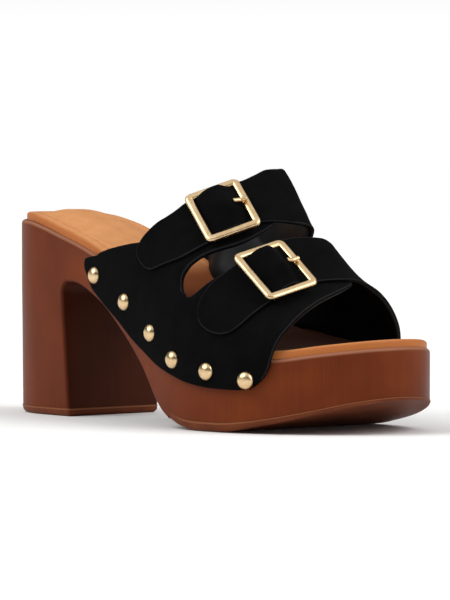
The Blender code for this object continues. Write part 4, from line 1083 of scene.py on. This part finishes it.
# Setting: a white floor that runs to the horizon, a broad soft light from each side, and a grey dome that
# is bright at the horizon and overhead. The camera stands where the photograph was taken, closer in on the
# shoe.
FLOOR_RADIUS = 40.0
FLOOR_SIDES = 96
FLECK_SIZE = 40.0
CAMERA_PLACE = np.array([1204.5, -914.4, 91.24])
CAMERA_FORWARD = np.array([-0.7410, 0.6710, -0.0265])
CAMERA_RIGHT = np.array([0.671, 0.741, 0.0])
PHOTO_SIZE = (450, 600)
PHOTO_FOCAL = 2357.6
SHOE_PIXEL = (150, 301)
CLOSER = 1.38
SENSOR = 36.0
CAMERA_CLIP = (0.05, 100.0)
LIGHTS = (  # name, direction it comes from, strength, apparent width in degrees
    ("left", (-0.31, -0.68, 0.66), 1.75, 45.0),
    ("right", (0.70, 0.33, 0.63), 1.6, 45.0),
)

turn = np.linspace(0, 2 * np.pi, FLOOR_SIDES, endpoint=False)
floor_mesh = bpy.data.meshes.new("floor")
floor_mesh.from_pydata(np.stack([np.cos(turn), np.sin(turn), 0 * turn], -1) * FLOOR_RADIUS, [],
                       [list(range(len(turn)))])
floor = bpy.data.objects.new("floor", floor_mesh)
bpy.context.scene.collection.objects.link(floor)
paper, tree, shader, place = start_material("white_paper", Roughness=0.9, Specular_IOR_Level=0.1)
fleck = add_node(tree, "TexNoise", "Fac", {"Vector": place, "Scale": 1 / (FLECK_SIZE * MM)})
white = add_node(tree, "ValToRGB", "Color", {"Fac": fleck}, stops=((0.0, "#f1f1f0"), (1.0, "#f6f6f5")))
tree.links.new(white, shader.inputs["Base Color"])
floor_mesh.materials.append(paper)

world = bpy.data.worlds.new("studio")
bpy.context.scene.world = world
world.use_nodes = True
tree = world.node_tree
direction = add_node(tree, "TexCoord", "Generated")
height = add_node(tree, "SeparateXYZ", "Z", {"Vector": direction})
dome = add_node(tree, "ValToRGB", "Color", {"Fac": height},
                stops=((0.06, "#ffffff"), (0.2, "#646464"), (0.55, "#646464"), (0.8, "#f0f0f0")))
tree.links.new(dome, tree.nodes["Background"].inputs["Color"])

for name, source, strength, width in LIGHTS:
    lamp_data = bpy.data.lights.new(name, "SUN")
    lamp_data.energy = strength
    lamp_data.angle = np.radians(width)
    lamp = bpy.data.objects.new(name, lamp_data)
    lamp.rotation_euler = Vector(source).to_track_quat("Z", "Y").to_euler()
    bpy.context.scene.collection.objects.link(lamp)

camera_data = bpy.data.cameras.new("camera")
camera = bpy.data.objects.new("camera", camera_data)
bpy.context.scene.collection.objects.link(camera)
camera_data.sensor_width = SENSOR
camera_data.lens = PHOTO_FOCAL * CLOSER * SENSOR / max(PHOTO_SIZE)
camera_data.clip_start, camera_data.clip_end = CAMERA_CLIP
camera_up = np.cross(CAMERA_RIGHT, CAMERA_FORWARD)
aim = (CAMERA_FORWARD + CAMERA_RIGHT * (SHOE_PIXEL[0] - PHOTO_SIZE[0] / 2) / PHOTO_FOCAL
       - camera_up * (SHOE_PIXEL[1] - PHOTO_SIZE[1] / 2) / PHOTO_FOCAL)
camera.location = Vector((CAMERA_PLACE + TO_FRAME) * MM)
camera.rotation_euler = Vector(aim).to_track_quat("-Z", "Y").to_euler()
bpy.context.scene.camera = camera
bpy.context.scene.view_settings.view_transform = "Standard"
